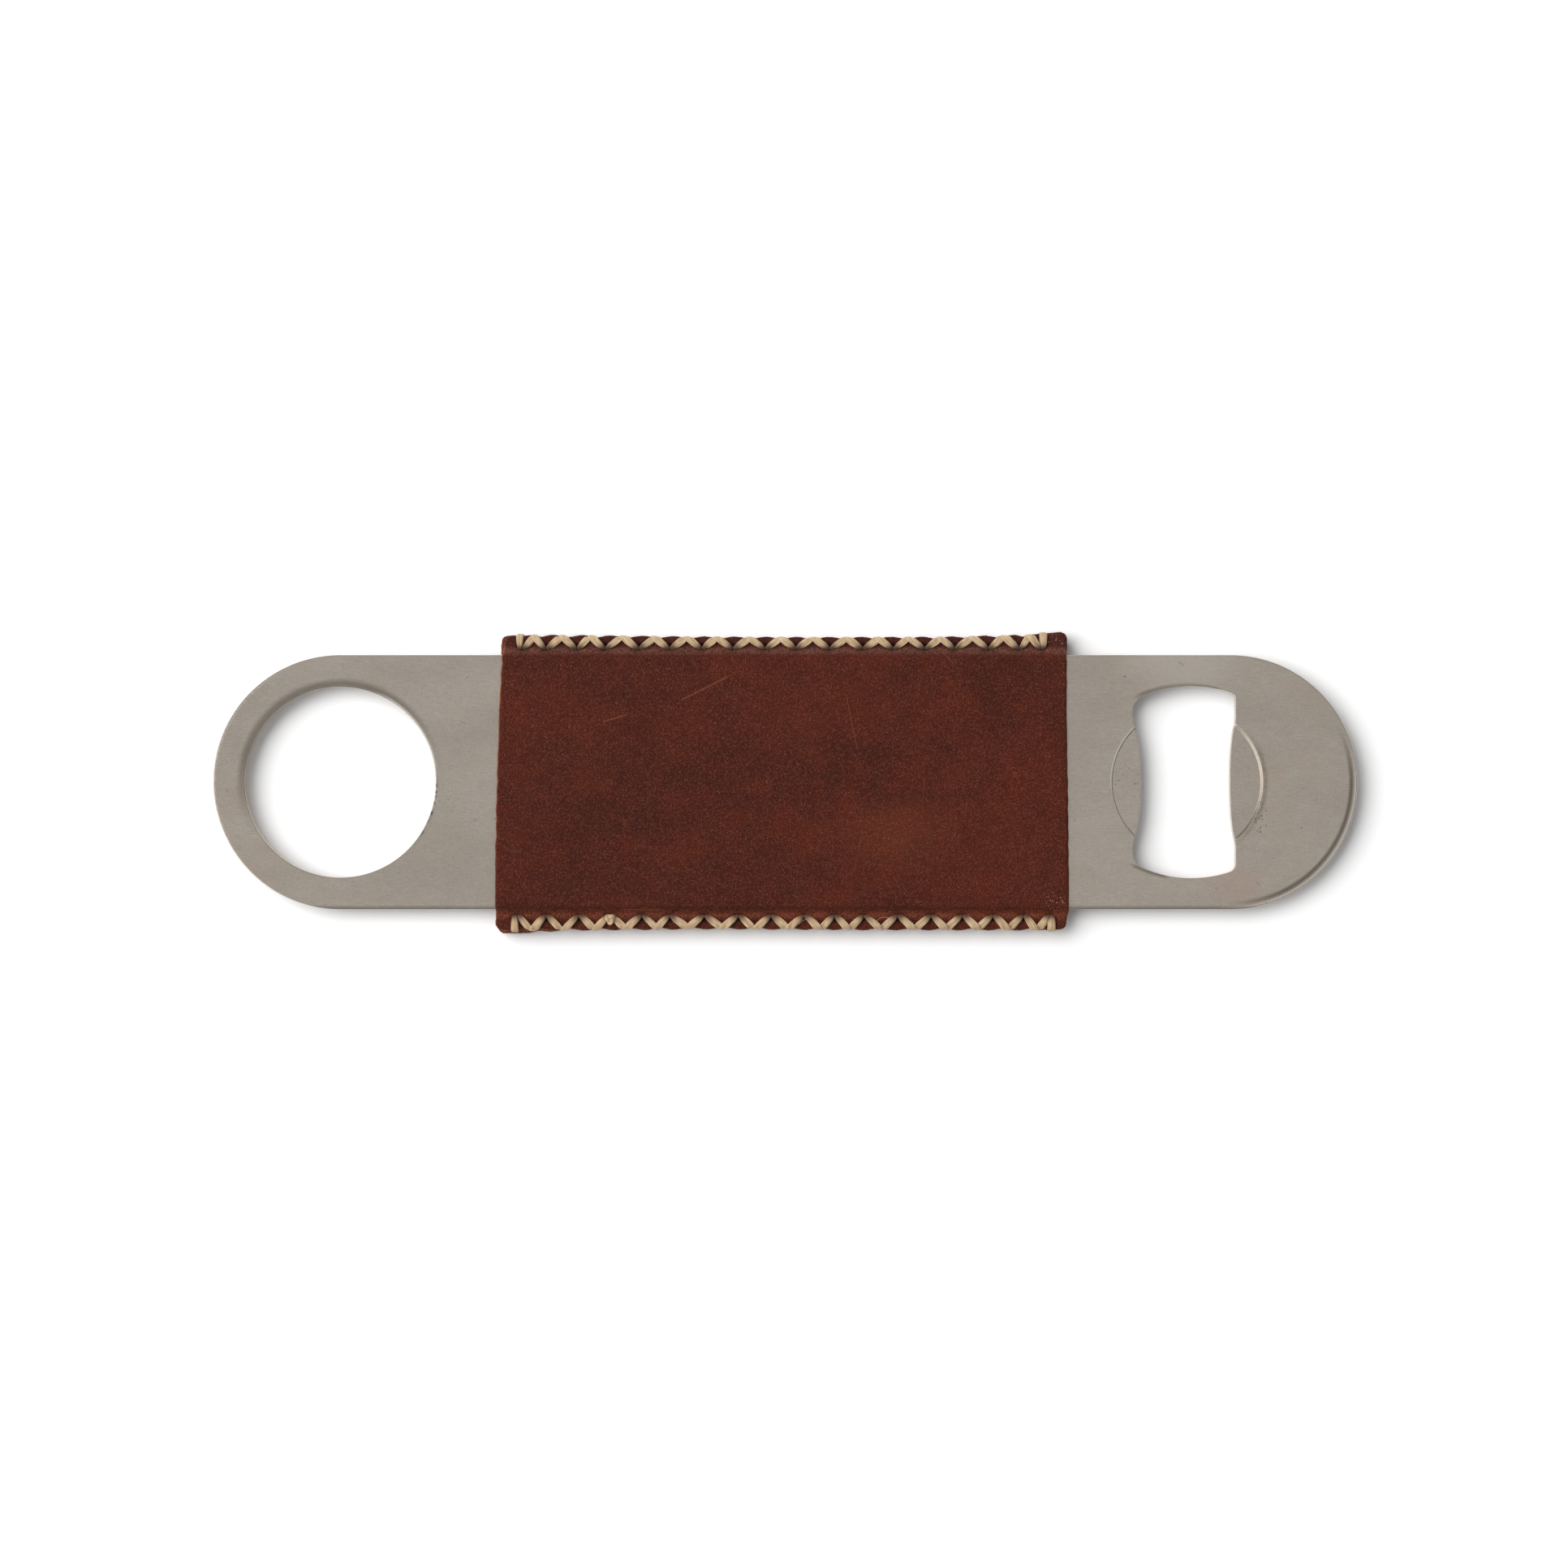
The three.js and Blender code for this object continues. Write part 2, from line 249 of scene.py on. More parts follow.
def slot_outline(step=0.16):
    """The whole slot, counterclockwise about its middle, with points an even step apart."""
    outer_x, outer_y, outer_angle = slot_corner(1, 1.2)
    inner_x, inner_y, inner_angle = slot_corner(-1, 2.5)
    upper = np.concatenate([
        lip(1, 0.85),
        arc(outer_x, outer_y, 1.2, 0, outer_angle),
        arc(ARCH_SHIFT, SLOT_HALF_HEIGHT - ARCH_RADIUS, ARCH_RADIUS, outer_angle, inner_angle),
        arc(inner_x, inner_y, 2.5, inner_angle, math.pi),
        lip(-1, 1.35)[::-1],
    ])
    lower = upper[::-1][1:-1] * (1, -1)
    loop = np.concatenate([upper, lower, upper[:1]])
    length = np.concatenate([[0], np.cumsum(np.hypot(*np.diff(loop, axis=0).T))])
    even = np.linspace(0, length[-1], int(length[-1] / step), endpoint=False)
    return np.stack([np.interp(even, length, loop[:, axis]) for axis in (0, 1)], 1)


def moved_out(outline, distance):
    """The outline moved by a distance along its own normal, away from its middle."""
    way = np.roll(outline, -1, 0) - np.roll(outline, 1, 0)
    way /= np.hypot(*way.T)[:, None]
    return outline + distance * np.stack([way[:, 1], -way[:, 0]], 1)


def reach(outline, angles):
    """How far the outline lies from its middle along each ray."""
    return np.interp(angles, np.arctan2(outline[:, 1], outline[:, 0]), np.hypot(*outline.T),
                     period=2 * math.pi)


slot = slot_outline()
print("slot outline", len(slot), "points", slot.min(0).round(2), slot.max(0).round(2))

# %% Where the rays end
RIM_ROLL, RIM_DROP = 0.26, 0.2  # how wide and how deep the outer edge is rolled over
SPLIT_X = -0.5
SPLIT_Y = np.linspace(-1, 1, 41) * (HALF_WIDTH - RIM_ROLL)


def to_strip_edge(centre_x, side, angles, inset):
    """Distance along each ray from (centre_x, 0) to the strip's outline, moved in by inset. A ray
    ends on a straight side where y is the half width, or on the round end beyond it."""
    half = HALF_WIDTH - inset
    cosine, sine = np.cos(angles), np.sin(angles)
    shift = side * END_X - centre_x
    straight = half / np.maximum(np.abs(sine), 1e-9)
    # On a circle about the end's middle: t² - 2·t·shift·cos + shift² = half²
    round_end = shift * cosine + np.sqrt(np.maximum(half ** 2 - (shift * sine) ** 2, 0))
    beyond = side * (centre_x + straight * cosine) > END_X
    return np.where(beyond, round_end, straight)


def fan(centre_x, side, free_angles):
    """All rays of one fan: its free ones, and those to the points of the split line. Returns the
    angles in order and, for two insets, how far each ray runs."""
    split = np.arctan2(SPLIT_Y, SPLIT_X - centre_x)
    angles = np.concatenate([free_angles, split])
    on_split = np.concatenate([np.zeros(len(free_angles), bool), np.ones(len(split), bool)])
    order = np.argsort(angles)
    angles, on_split = angles[order], on_split[order]
    to_split = (SPLIT_X - centre_x) / np.cos(angles)
    ends = [np.where(on_split, to_split, to_strip_edge(centre_x, side, angles, inset))
            for inset in (RIM_ROLL, RIM_ROLL + 0.35)]
    ends[1] = np.where(on_split, ends[0] - 0.35, ends[1])
    return angles, on_split, ends


corner_angle = math.atan2(SPLIT_Y[-1], SLOT_X - SPLIT_X)
slot_angles = np.arctan2(slot[:, 1], slot[:, 0])
slot_free = slot_angles[np.abs(slot_angles) < math.pi - corner_angle - 0.004]
ring_corner = math.atan2(SPLIT_Y[-1], SPLIT_X - RING_X)
ring_free = np.linspace(ring_corner, 2 * math.pi - ring_corner, 290)[1:-1]
ring_free = np.where(ring_free > math.pi, ring_free - 2 * math.pi, ring_free)
slot_fan = fan(SLOT_X, 1, slot_free)
ring_fan = fan(RING_X, -1, ring_free)
print("rays:", len(ring_fan[0]), "from the ring and", len(slot_fan[0]), "from the slot")

# %% The pressed seat
PRESS_X, PRESS_RADIUS = SLOT_X + 0.5, 11.9
FLOOR_DEPTH, FLOOR_TILT = 0.36, 0.27  # at the seat's middle, and how much more at the blade's end
TOP_WALL = (0.15, 0.34)  # width of the seat's wall on the sleeve's side and on the other
UNDER_WALL = (1.0, 1.4)


def seat_depth(x, y, narrow, wide):
    """Depth of the round seat: a floor that sinks towards the blade's end, inside a sloping wall
    that is narrow on the sleeve's side and wide on the other."""
    dx = x - PRESS_X
    distance = np.hypot(dx, y)
    cosine = dx / np.maximum(distance, 1e-6)
    wall = narrow + (wide - narrow) * (1 + cosine) / 2
    floor_depth = FLOOR_DEPTH + FLOOR_TILT * np.clip(dx / PRESS_RADIUS, -1, 1)
    return floor_depth * (1 - ease((distance - PRESS_RADIUS + wall) / wall))


print("seat depth from", round(FLOOR_DEPTH - FLOOR_TILT, 2), "to", round(FLOOR_DEPTH + FLOOR_TILT, 2))


# %% Two fans of rays and the rim
QUARTER = np.linspace(0, math.pi / 2, 8)


def roll(width, drop):
    """A quarter of an ellipse, as pairs of how far out and how far down."""
    return list(zip(width * np.sin(QUARTER), drop * (1 - np.cos(QUARTER))))


def fan_points(centre_x, rays, hole, hole_roll, rolled, drop, seat_rows):
    """Points of a fan: in along the top, over the hole's rolled edge, down its wall and out along
    the underside. hole and hole_roll say how far the wall and the start of the roll lie."""
    angles, _, (end, near_end) = rays
    cosine, sine = np.cos(angles), np.sin(angles)
    flat = [end, near_end]
    outer = seat_rows[0] if seat_rows else hole_roll + 0.3
    flat += [outer + (near_end - outer) * share for share in (0.6, 0.25)]
    flat += seat_rows if seat_rows else [outer]
    inner = flat[-1]
    flat += [hole_roll + (inner - hole_roll) * share for share in (0.85, 0.7, 0.5, 0.25)]
    top, under = [], []
    for distance in flat:
        x, y = centre_x + distance * cosine, distance * sine
        top.append(np.stack([x, y, BLADE_TOP - seat_depth(x, y, *TOP_WALL)], 1))
        under.append(np.stack([x, y, BLADE_TOP - BLADE_THICKNESS - seat_depth(x, y, *UNDER_WALL)], 1))
    for out, down in roll(rolled, drop):
        distance = hole_roll + (hole - hole_roll) * out / rolled
        x, y = centre_x + distance * cosine, distance * sine
        top.append(np.stack([x, y, BLADE_TOP - seat_depth(x, y, *TOP_WALL) - down], 1))
        under.append(np.stack([x, y, BLADE_TOP - BLADE_THICKNESS - seat_depth(x, y, *UNDER_WALL) + down], 1))
    wall = [top[-1] + (under[-1] - top[-1]) * share for share in (0.33, 0.66)]
    rows = top + wall + under[::-1]
    return np.concatenate(rows), grid_faces(len(rows), len(angles), closed=True)


SLOT_ROLL, SLOT_DROP = 0.16, 0.14
RING_RADIUS, RING_ROLL, RING_DROP = 15.0, 0.26, 0.18
slot_wall = reach(slot, slot_fan[0])
slot_roll = reach(moved_out(slot, SLOT_ROLL), slot_fan[0])
ray_sine, ray_cosine = np.sin(slot_fan[0]), np.cos(slot_fan[0])
shift = PRESS_X - SLOT_X
seat_rows = []
SEAT_STEPS = 11
for step in range(SEAT_STEPS):
    # From just outside the seat's wall to just inside it, but never into the slot's own edge
    radius = PRESS_RADIUS + 0.06 - 0.045 * step * (0.75 + 0.25 * ray_cosine)
    along = shift * ray_cosine + np.sqrt(radius ** 2 - (shift * ray_sine) ** 2)
    seat_rows.append(np.maximum(along, slot_roll + 0.03 * (SEAT_STEPS + 2 - step)))
slot_points, slot_faces = fan_points(SLOT_X, slot_fan, slot_wall, slot_roll,
                                     SLOT_ROLL, SLOT_DROP, seat_rows)
ring_radius = np.full(len(ring_fan[0]), RING_RADIUS)
ring_points, ring_faces = fan_points(RING_X, ring_fan, ring_radius, ring_radius + RING_ROLL,
                                     RING_ROLL, RING_DROP, [])


def rim_points():
    """The rolled outer edge: its section carried round the strip through the rays' ends."""
    starts = []
    for centre_x, (angles, on_split, (end, _)) in ((SLOT_X, slot_fan), (RING_X, ring_fan)):
        free = ~on_split
        if centre_x == SLOT_X:
            picked = angles[free]
            ends = end[free]
        else:
            turned = np.mod(angles, 2 * math.pi)
            order = np.argsort(turned[free])
            picked, ends = turned[free][order], end[free][order]
        starts.append(np.stack([centre_x + ends * np.cos(picked), ends * np.sin(picked)], 1))
    corner = np.array([[SPLIT_X, SPLIT_Y[-1]]])
    line = np.concatenate([corner * (1, -1), starts[0], corner, starts[1]])
    nearest = np.stack([np.clip(line[:, 0], RING_X, END_X), np.zeros(len(line))], 1)
    out_way = line - nearest
    out_way /= np.hypot(*out_way.T)[:, None]
    rows = []
    for out, down in roll(RIM_ROLL, RIM_DROP):
        rows.append(np.column_stack([line + out * out_way, np.full(len(line), BLADE_TOP - down)]))
    for out, down in roll(RIM_ROLL, RIM_DROP)[::-1]:
        height = np.full(len(line), BLADE_TOP - BLADE_THICKNESS + down)
        rows.append(np.column_stack([line + out * out_way, height]))
    return np.concatenate(rows), grid_faces(len(rows), len(line), closed=True)


rim, rim_faces = rim_points()
blade_points = np.concatenate([slot_points, ring_points, rim])
blade_faces = np.concatenate([slot_faces, ring_faces + len(slot_points),
                              rim_faces + len(slot_points) + len(ring_points)])
# The fans' outer rows run on across the split line, so the two halves need no face between them.
blade = new_piece("blade_body", blade_points, blade_faces)
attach(blade, "root")
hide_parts("opener_blade")

# %% [markdown]
# ## Where the thread goes through the leather
#
# The maker pricked the holes by eye, about five millimetres apart. Both seams have eighteen. The
# leather needs their places too: it is pulled in where the thread crosses its edge, puffs out
# between the crossings and sinks at every hole.

# %% Hole places and the edge of the leather
HOLE_LINE = 21.15  # the holes' distance from the middle of the blade


holes = {
    1: np.array([-41.3, -37.6, -32.7, -28.3, -23.0, -18.1, -13.1, -8.2, -3.1,
                 1.7, 7.0, 12.2, 17.0, 22.0, 26.7, 32.0, 36.8, 40.3]),
    -1: np.array([-42.1, -37.6, -32.4, -27.6, -22.5, -18.1, -12.7, -7.3, -2.2,
                  3.0, 7.8, 12.4, 17.7, 23.0, 27.9, 32.7, 37.5, 41.6]),
}
print("mean gap", {side: np.diff(places).mean().round(2) for side, places in holes.items()})


def stitch_phase(side, x):
    """1 at a hole and -1 half way between two, as a smooth wave along the seam."""
    count = np.interp(x, holes[side], np.arange(18.0))
    return np.cos(2 * math.pi * count)


def edge_reach(side, face, x):
    """How far the leather's long edge lies from the middle: a gentle line through a few places,
    pulled in at the crossings and puffed out at the holes."""
    if side > 0:
        line = np.interp(x, [-45, -38, -15, 5, 25, 38, 44.5],
                         [23.1, 23.1, 22.85, 22.75, 22.8, 23.1, 23.65])
    else:
        line = np.interp(x, [-46, -38, -25, -12, 10, 40, 44.5],
                         [23.35, 23.3, 23.2, 23.05, 23.2, 23.25, 23.2])
        if face < 0:
            line = line + 0.5 * ease((-34 - x) / 9)
    inside = ease((x - holes[side][0]) / 2) * ease((holes[side][-1] - x) / 2)
    return line + inside * (0.16 * stitch_phase(side, x) - 0.06)


# %% [markdown]
# ## The two hides
#
# Each hide is a flat rectangle of vegetable-tanned leather, about 90 by 47 mm and 1.3 mm thick. It
# lies on the blade, bends down past the blade's side and meets the other hide. Simulating cloth
# would not help, because the leather is stiff and only bends along two lines. So each hide is a
# height over a grid, with an inner surface under it and a rounded, hand-cut edge all round.

# %% Shape of a hide
HIDE_TOP, HIDE_INSIDE = hide_high[2], BLADE_TOP + 0.1
FLANGE_DROP = 1.05
CUT_ROUND = 0.26


def end_edges(face, y):
    """X of the sleeve's left and right cut edges at each y: hand-cut, so slightly askew."""
    left = np.interp(y, [-23.5, -15, 0, 13, 20, 21.5, 23.2],
                     [-45.5, -45.6, -45.3, -44.85, -44.45, -44.2, -43.9])
    right = np.interp(y, [-23.4, -21.2, -20, -5, 13, 20, 23.5],
                      [44.2, 44.3, 44.6, 44.45, 44.2, 44.25, 44.4])
    if face < 0:
        left = np.interp(y, [-24, -15, 0, 18, 24], [-45.3, -45.45, -45.1, -44.7, -44.75])
        right = right - 0.15
    ripple = 0.05 * np.sin(2.1 * y + face) + 0.03 * np.sin(5.3 * y + 2 * face)
    return left + ripple, right + 0.8 * ripple


def hide_rows():
    """Rows across the hide: few on the flat, many on the bends and the flanges."""
    flat = np.linspace(-18.4, 18.4, 27)
    bend = np.linspace(18.8, 20.9, 15)
    return np.concatenate([-bend[::-1], flat, bend])


def hide_heights(face, x, y):
    """Outer and inner height of the front hide: level over the blade, an eased step past its
    side, dimples at the holes, puffs between the threads and a slight unevenness everywhere."""
    away = np.abs(y)
    outer = HIDE_TOP - FLANGE_DROP * ease((away - 19.25) / 1.6)
    inner = HIDE_INSIDE - FLANGE_DROP * ease((away - 19.7) / 1.5)
    uneven = -0.05 + (0.035 * np.sin(0.21 * x + 0.13 * y + face)
                      + 0.03 * np.sin(0.37 * x - 0.29 * y + 2 * face) + 0.02 * np.sin(0.9 * x + 0.5 * y))
    outer = outer + uneven * (1 - ease((away - 19) / 3))
    stain_and_shade = np.zeros_like(x)
    for side in (1, -1):
        here = (side * y > 0)
        nearest = np.abs(x[..., None] - holes[side]).min(-1)
        pit = np.exp(-(nearest / 0.75) ** 2 - ((side * y - HOLE_LINE - 0.1) / 0.5) ** 2) * here
        phase = stitch_phase(side, x)
        puff = ease((side * y - 21.4) / 0.9) * here
        outer = outer - 0.5 * pit + puff * (0.07 * phase - 0.05)
        # The thread draws the whole bend down a little at each hole
        outer = outer - 0.1 * here * np.exp(-(nearest / 1.3) ** 2) * ease((side * y - 19.6) / 1.2)
        # The pit mask is kept for the colour, which paints the pits dark as shade of the holes.
        stain_and_shade = np.maximum(stain_and_shade, pit)
    outer = np.minimum(outer, HIDE_TOP)
    return outer, inner, stain_and_shade


def hide_points(face):
    """Both surfaces of a hide and the rounded edge between them."""
    share = np.linspace(0, 1, 372)
    body = hide_rows()
    flange = np.linspace(0, 1, 12)[1:]
    columns = {}
    for side in (1, -1):
        left, right = end_edges(face, np.array([side * 22.0]))
        columns[side] = edge_reach(side, face, left + share * (right - left)) - CUT_ROUND
    start = body[-1]
    lower = -(start + flange[::-1, None] * (columns[-1] - start))
    upper = start + flange[:, None] * (columns[1] - start)
    y = np.concatenate([lower, np.repeat(body[:, None], len(share), 1), upper])
    left, right = end_edges(face, y)
    # The four corners are cut round: the ends come in as the long edge gets close
    CORNER = 0.8
    to_edge = np.minimum(np.abs(y - y[:1]), np.abs(y[-1:] - y))
    come_in = CORNER - np.sqrt(np.maximum(CORNER ** 2 - np.maximum(CORNER - to_edge, 0) ** 2, 0))
    left, right = left + CUT_ROUND + come_in, right - CUT_ROUND - come_in
    x = left + share * (right - left)
    outer, inner, stain_and_shade = hide_heights(face, x, y)
    return x, y, outer, inner, stain_and_shade


EDGE_OUT = np.array([0, 0.42, 0.74, 0.94, 1.0, 0.97, 0.86, 0.58, 0])
EDGE_DOWN = np.array([0, 0.05, 0.15, 0.3, 0.5, 0.7, 0.86, 0.96, 1])


def hide(name, face):
    """A closed hide: the outer grid, the inner grid and the rows of the cut edge."""
    x, y, outer, inner, stain_and_shade = hide_points(face)
    rows, columns = x.shape
    number = np.arange(rows * columns).reshape(rows, columns)
    border = np.concatenate([number[0, :-1], number[:-1, -1], number[-1, :0:-1], number[:0:-1, 0]])
    line = np.stack([x.ravel()[border], y.ravel()[border]], 1)
    way = np.roll(line, -1, 0) - np.roll(line, 1, 0)
    out_way = np.stack([way[:, 1], -way[:, 0]], 1) / np.hypot(*way.T)[:, None]
    high, low = outer.ravel()[border], inner.ravel()[border]
    fray = np.random.default_rng(5 + face).normal(0, 0.018, (len(EDGE_OUT), len(border)))
    fray[0] = fray[-1] = 0
    edge = np.stack([np.column_stack([line + out_way * (CUT_ROUND * out + wobble)[:, None],
                                      high + (low - high) * down])
                     for out, down, wobble in zip(EDGE_OUT, EDGE_DOWN, fray)])
    points = np.concatenate([np.stack([x, y, outer], -1).reshape(-1, 3),
                             np.stack([x, y, inner], -1).reshape(-1, 3), edge.reshape(-1, 3)])
    if face < 0:
        points[:, 2] = 2 * MIDDLE - points[:, 2]
    count = rows * columns
    faces = np.concatenate([grid_faces(rows, columns), grid_faces(rows, columns, first=count),
                            grid_faces(len(EDGE_OUT), len(border), closed=True, first=2 * count)])
    raw_rows = np.array([0.0, 0.55, 0.9, 1, 1, 1, 1, 1, 1])
    raw = np.concatenate([np.zeros(count), np.ones(count), np.repeat(raw_rows, len(border))])
    stain_and_shade = np.concatenate([stain_and_shade.ravel(), stain_and_shade.ravel(), np.zeros(edge.shape[0] * edge.shape[1])])
    piece = new_piece(name, points, faces, values={"raw_edge": raw, "hole_stain_and_shade": stain_and_shade})
    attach(piece, "root")
    return piece


front_hide = hide("front_hide", 1)
back_hide = hide("back_hide", -1)
for piece, solid in ((front_hide, "front_leather_panel"), (back_hide, "back_leather_panel")):
    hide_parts(solid)

# %% [markdown]
# ## The whipped thread
#
# One flat waxed thread closes each seam. It slants from every hole to the edge, goes over it and
# comes back through the next hole, and at the end of the seam it returns the other way, so that
# the two runs cross on the edge. A curve object with a bevel would twist at the tight turns. Here
# a row of corner points is worked out for each loop, joined by straight lines, and rounded by a
# moving average. The flat side always faces away from the leather. The path is not tested against
# the leather, so in places a strand dips into it, by up to about half a millimetre.

# %% One loop of thread
# Each corner: share of the way to the next hole, distance from the middle of the blade, height
# over the plane between the hides, whether it moves with the edge, width, thickness, darkening
# (a stain, and painted shade at the hole), and the way in which a strand on top is lifted.
LOOP = np.array([
    # share  out    high  edge  wide  thick stain_and_shade lift_out lift_up
    [0.00, 21.20, 0.00, 0.0, 0.70, 0.46, 1.0, 0.0, 0.0],
    [0.01, 21.08, 0.85, 0.0, 0.72, 0.46, 1.0, 0.0, 0.0],
    [0.04, 21.12, 1.36, 0.0, 0.82, 0.42, 1.0, 0.0, 0.0],
    [0.13, 21.50, 1.60, 0.1, 1.00, 0.38, 0.6, 0.0, 0.1],
    [0.28, 22.15, 1.59, 0.5, 1.12, 0.36, 0.12, 0.0, 0.5],
    [0.40, 22.72, 1.50, 0.9, 1.18, 0.34, 0.0, 0.2, 0.9],
    [0.475, 22.99, 1.10, 1.0, 1.18, 0.32, 0.0, 0.4, 0.6],
    [0.50, 23.10, 0.00, 1.0, 1.12, 0.34, 0.0, 0.45, 0.0],
])
BACK_HALF = LOOP[-2::-1].copy()
BACK_HALF[:, 0] = 1 - BACK_HALF[:, 0]
BACK_HALF[:, 2] *= -1
BACK_HALF[:, 8] *= -1
WHOLE_LOOP = np.concatenate([LOOP, BACK_HALF[:-1]])
LIFT = 0.26  # a strand that crosses on top stands this much higher
EDGE_BASE = 23.0  # the edge distance that LOOP is drawn for
print("corner points in a loop:", len(WHOLE_LOOP))


def thread_corners(side, start, end, over, seed):
    """Corner points of all loops of a seam, one row each: x, distance out, height, width,
    thickness and darkening, a stain with painted shade at the holes. start and end are the x of
    the holes that each loop joins."""
    chance = np.random.default_rng(seed)
    middle = (start + end) / 2
    slide = chance.uniform(-0.18, 0.18, len(start)) * (start != end)
    width = chance.uniform(0.92, 1.1, len(start))
    share, out, high, edge, wide, thick, stain_and_shade, lift_out, lift_up = WHOLE_LOOP.T
    x = start[:, None] + (end - start)[:, None] * share
    x = x + slide[:, None] * np.sin(math.pi * share)
    move = edge_reach(side, 1, middle) - EDGE_BASE
    out = out + edge * move[:, None] + LIFT * over[:, None] * lift_out
    high = high + LIFT * over[:, None] * lift_up
    columns = [x, out, high, wide * width[:, None], thick + 0 * x, stain_and_shade + 0 * x]
    return np.stack(columns, -1).reshape(-1, 6)


def rounded(corners, step, softness):
    """The corners joined by straight lines, sampled at an even step, then averaged over a
    bell-shaped window."""
    length = np.concatenate([[0], np.cumsum(np.linalg.norm(np.diff(corners[:, :3], axis=0), axis=1))])
    even = np.linspace(0, length[-1], int(length[-1] / step))
    path = np.stack([np.interp(even, length, column) for column in corners.T], 1)
    reach_steps = int(3 * softness / step)
    window = np.exp(-0.5 * (np.arange(-reach_steps, reach_steps + 1) * step / softness) ** 2)
    padded = np.pad(path, ((reach_steps, reach_steps), (0, 0)), mode="edge")
    return np.stack([np.convolve(column, window / window.sum(), mode="valid") for column in padded.T], 1)


# %% A ribbon along a path
SIDES = 24


def ribbon(path, normal, width, thickness, stain_and_shade, plies=5, grooves=0.07):
    """A flat cord along a path. Its section is a squared ellipse with a few shallow grooves that
    wind slowly round, and normal is the way that its flat side faces."""
    way = np.gradient(path, axis=0)
    way /= np.linalg.norm(way, axis=1)[:, None]
    normal = normal - (normal * way).sum(1)[:, None] * way
    normal /= np.linalg.norm(normal, axis=1)[:, None]
    across = np.cross(way, normal)
    length = np.concatenate([[0], np.cumsum(np.linalg.norm(np.diff(path, axis=0), axis=1))])
    angle = np.linspace(0, 2 * math.pi, SIDES, endpoint=False)[None, :]
    groove = 1 + grooves * np.cos(plies * angle + 0.5 * length[:, None])
    squared = [np.sign(f) * np.abs(f) ** 0.8 for f in (np.cos(angle), np.sin(angle))]
    u = groove * squared[0] * width[:, None] / 2
    v = groove * squared[1] * thickness[:, None] / 2
    points = path[:, None] + across[:, None] * u[..., None] + normal[:, None] * v[..., None]
    ends = [np.repeat(path[i][None], SIDES, 0)[None] for i in (0, -1)]
    points = np.concatenate([ends[0], points, ends[1]])
    length = np.concatenate([length[:1], length, length[-1:]])
    stain_and_shade = np.concatenate([stain_and_shade[:1], stain_and_shade, stain_and_shade[-1:]])
    faces = grid_faces(len(points), SIDES, closed=True)
    row = np.arange(len(points) - 1)[:, None, None]
    column = np.arange(SIDES)[None, :, None]
    turn = (column + np.array([0, 1, 1, 0])) / SIDES + 0 * row
    along = length[row + np.array([0, 0, 1, 1]) + 0 * column]
    uv = np.stack([along, turn], -1).reshape(-1, 2)
    return points.reshape(-1, 3), faces, uv, np.repeat(stain_and_shade, SIDES)


def gather(parts):
    """Several ribbons as one set of points, faces, uv and darkening (stain and painted hole shade)."""
    first = np.cumsum([0] + [len(part[0]) for part in parts[:-1]])
    return (np.concatenate([part[0] for part in parts]),
            np.concatenate([part[1] + start for part, start in zip(parts, first)]),
            np.concatenate([part[2] for part in parts]), np.concatenate([part[3] for part in parts]))


# %% The thread of a whole seam


def seam_path(side, outward_over, return_over, seed):
    """Out along the seam, a straight loop at its end, and back again. The flat side of the
    thread faces along the turned-up tangent of its path round the flange."""
    places = holes[side]
    start = np.concatenate([places[:1] - 0.4, places[:-1] + 0.2, places[-1:] + 0.25, places[:0:-1] - 0.2])
    end = np.concatenate([places[:1] - 0.4, places[1:] - 0.2, places[-1:] + 0.25, places[-2::-1] + 0.2])
    over = np.concatenate([[0.4], outward_over, [0.5], return_over[::-1]]).astype(float)
    corners = thread_corners(side, start, end, over, seed)
    corners = np.concatenate([corners, corners[-1:] + [[0, -0.1, 0.8, 0, 0, 0]]])
    path = rounded(corners, 0.2, 0.24)
    way = np.gradient(path[:, :3], axis=0)
    normal = np.stack([np.zeros(len(path)), -way[:, 2], way[:, 1]], 1)
    points = path[:, :3].copy()
    points[:, 1] *= side
    points[:, 2] += MIDDLE
    normal[:, 1] *= side
    return points, normal, path[:, 3], path[:, 4], path[:, 5]


def loose_fibre(side, start, end, bow, height):
    """A hair-thin fibre that has come loose: an arc between two places on the flange."""
    t = np.linspace(0, 1, 26)[:, None]
    start, end = np.array(start, float), np.array(end, float)
    path = start + (end - start) * t + np.array(bow) * np.sin(math.pi * t)
    path = np.column_stack([path, MIDDLE + height + 0.25 * np.sin(math.pi * t[:, 0])])
    path[:, 1] *= side
    size = np.full(len(path), 0.045)
    return ribbon(path, np.tile([0.0, 0.0, 1.0], (len(path), 1)), size, size, np.zeros(len(path)),
                  grooves=0)


def knot(side, x, out):
    """A small tied knot: a trefoil, x = sin t + 2 sin 2t, y = cos t - 2 cos 2t, height -sin 3t."""
    t = np.linspace(0, 2 * math.pi, 120)
    path = np.stack([x + 0.2 * (np.sin(t) + 2 * np.sin(2 * t)),
                     side * out + 0.21 * (np.cos(t) - 2 * np.cos(2 * t)),
                     MIDDLE + 1.78 - 0.2 * np.sin(3 * t)], 1)
    return ribbon(path, np.tile([0.0, 0.0, 1.0], (len(t), 1)), np.full(len(t), 0.62),
                  np.full(len(t), 0.5), np.full(len(t), 0.12), grooves=0.06)


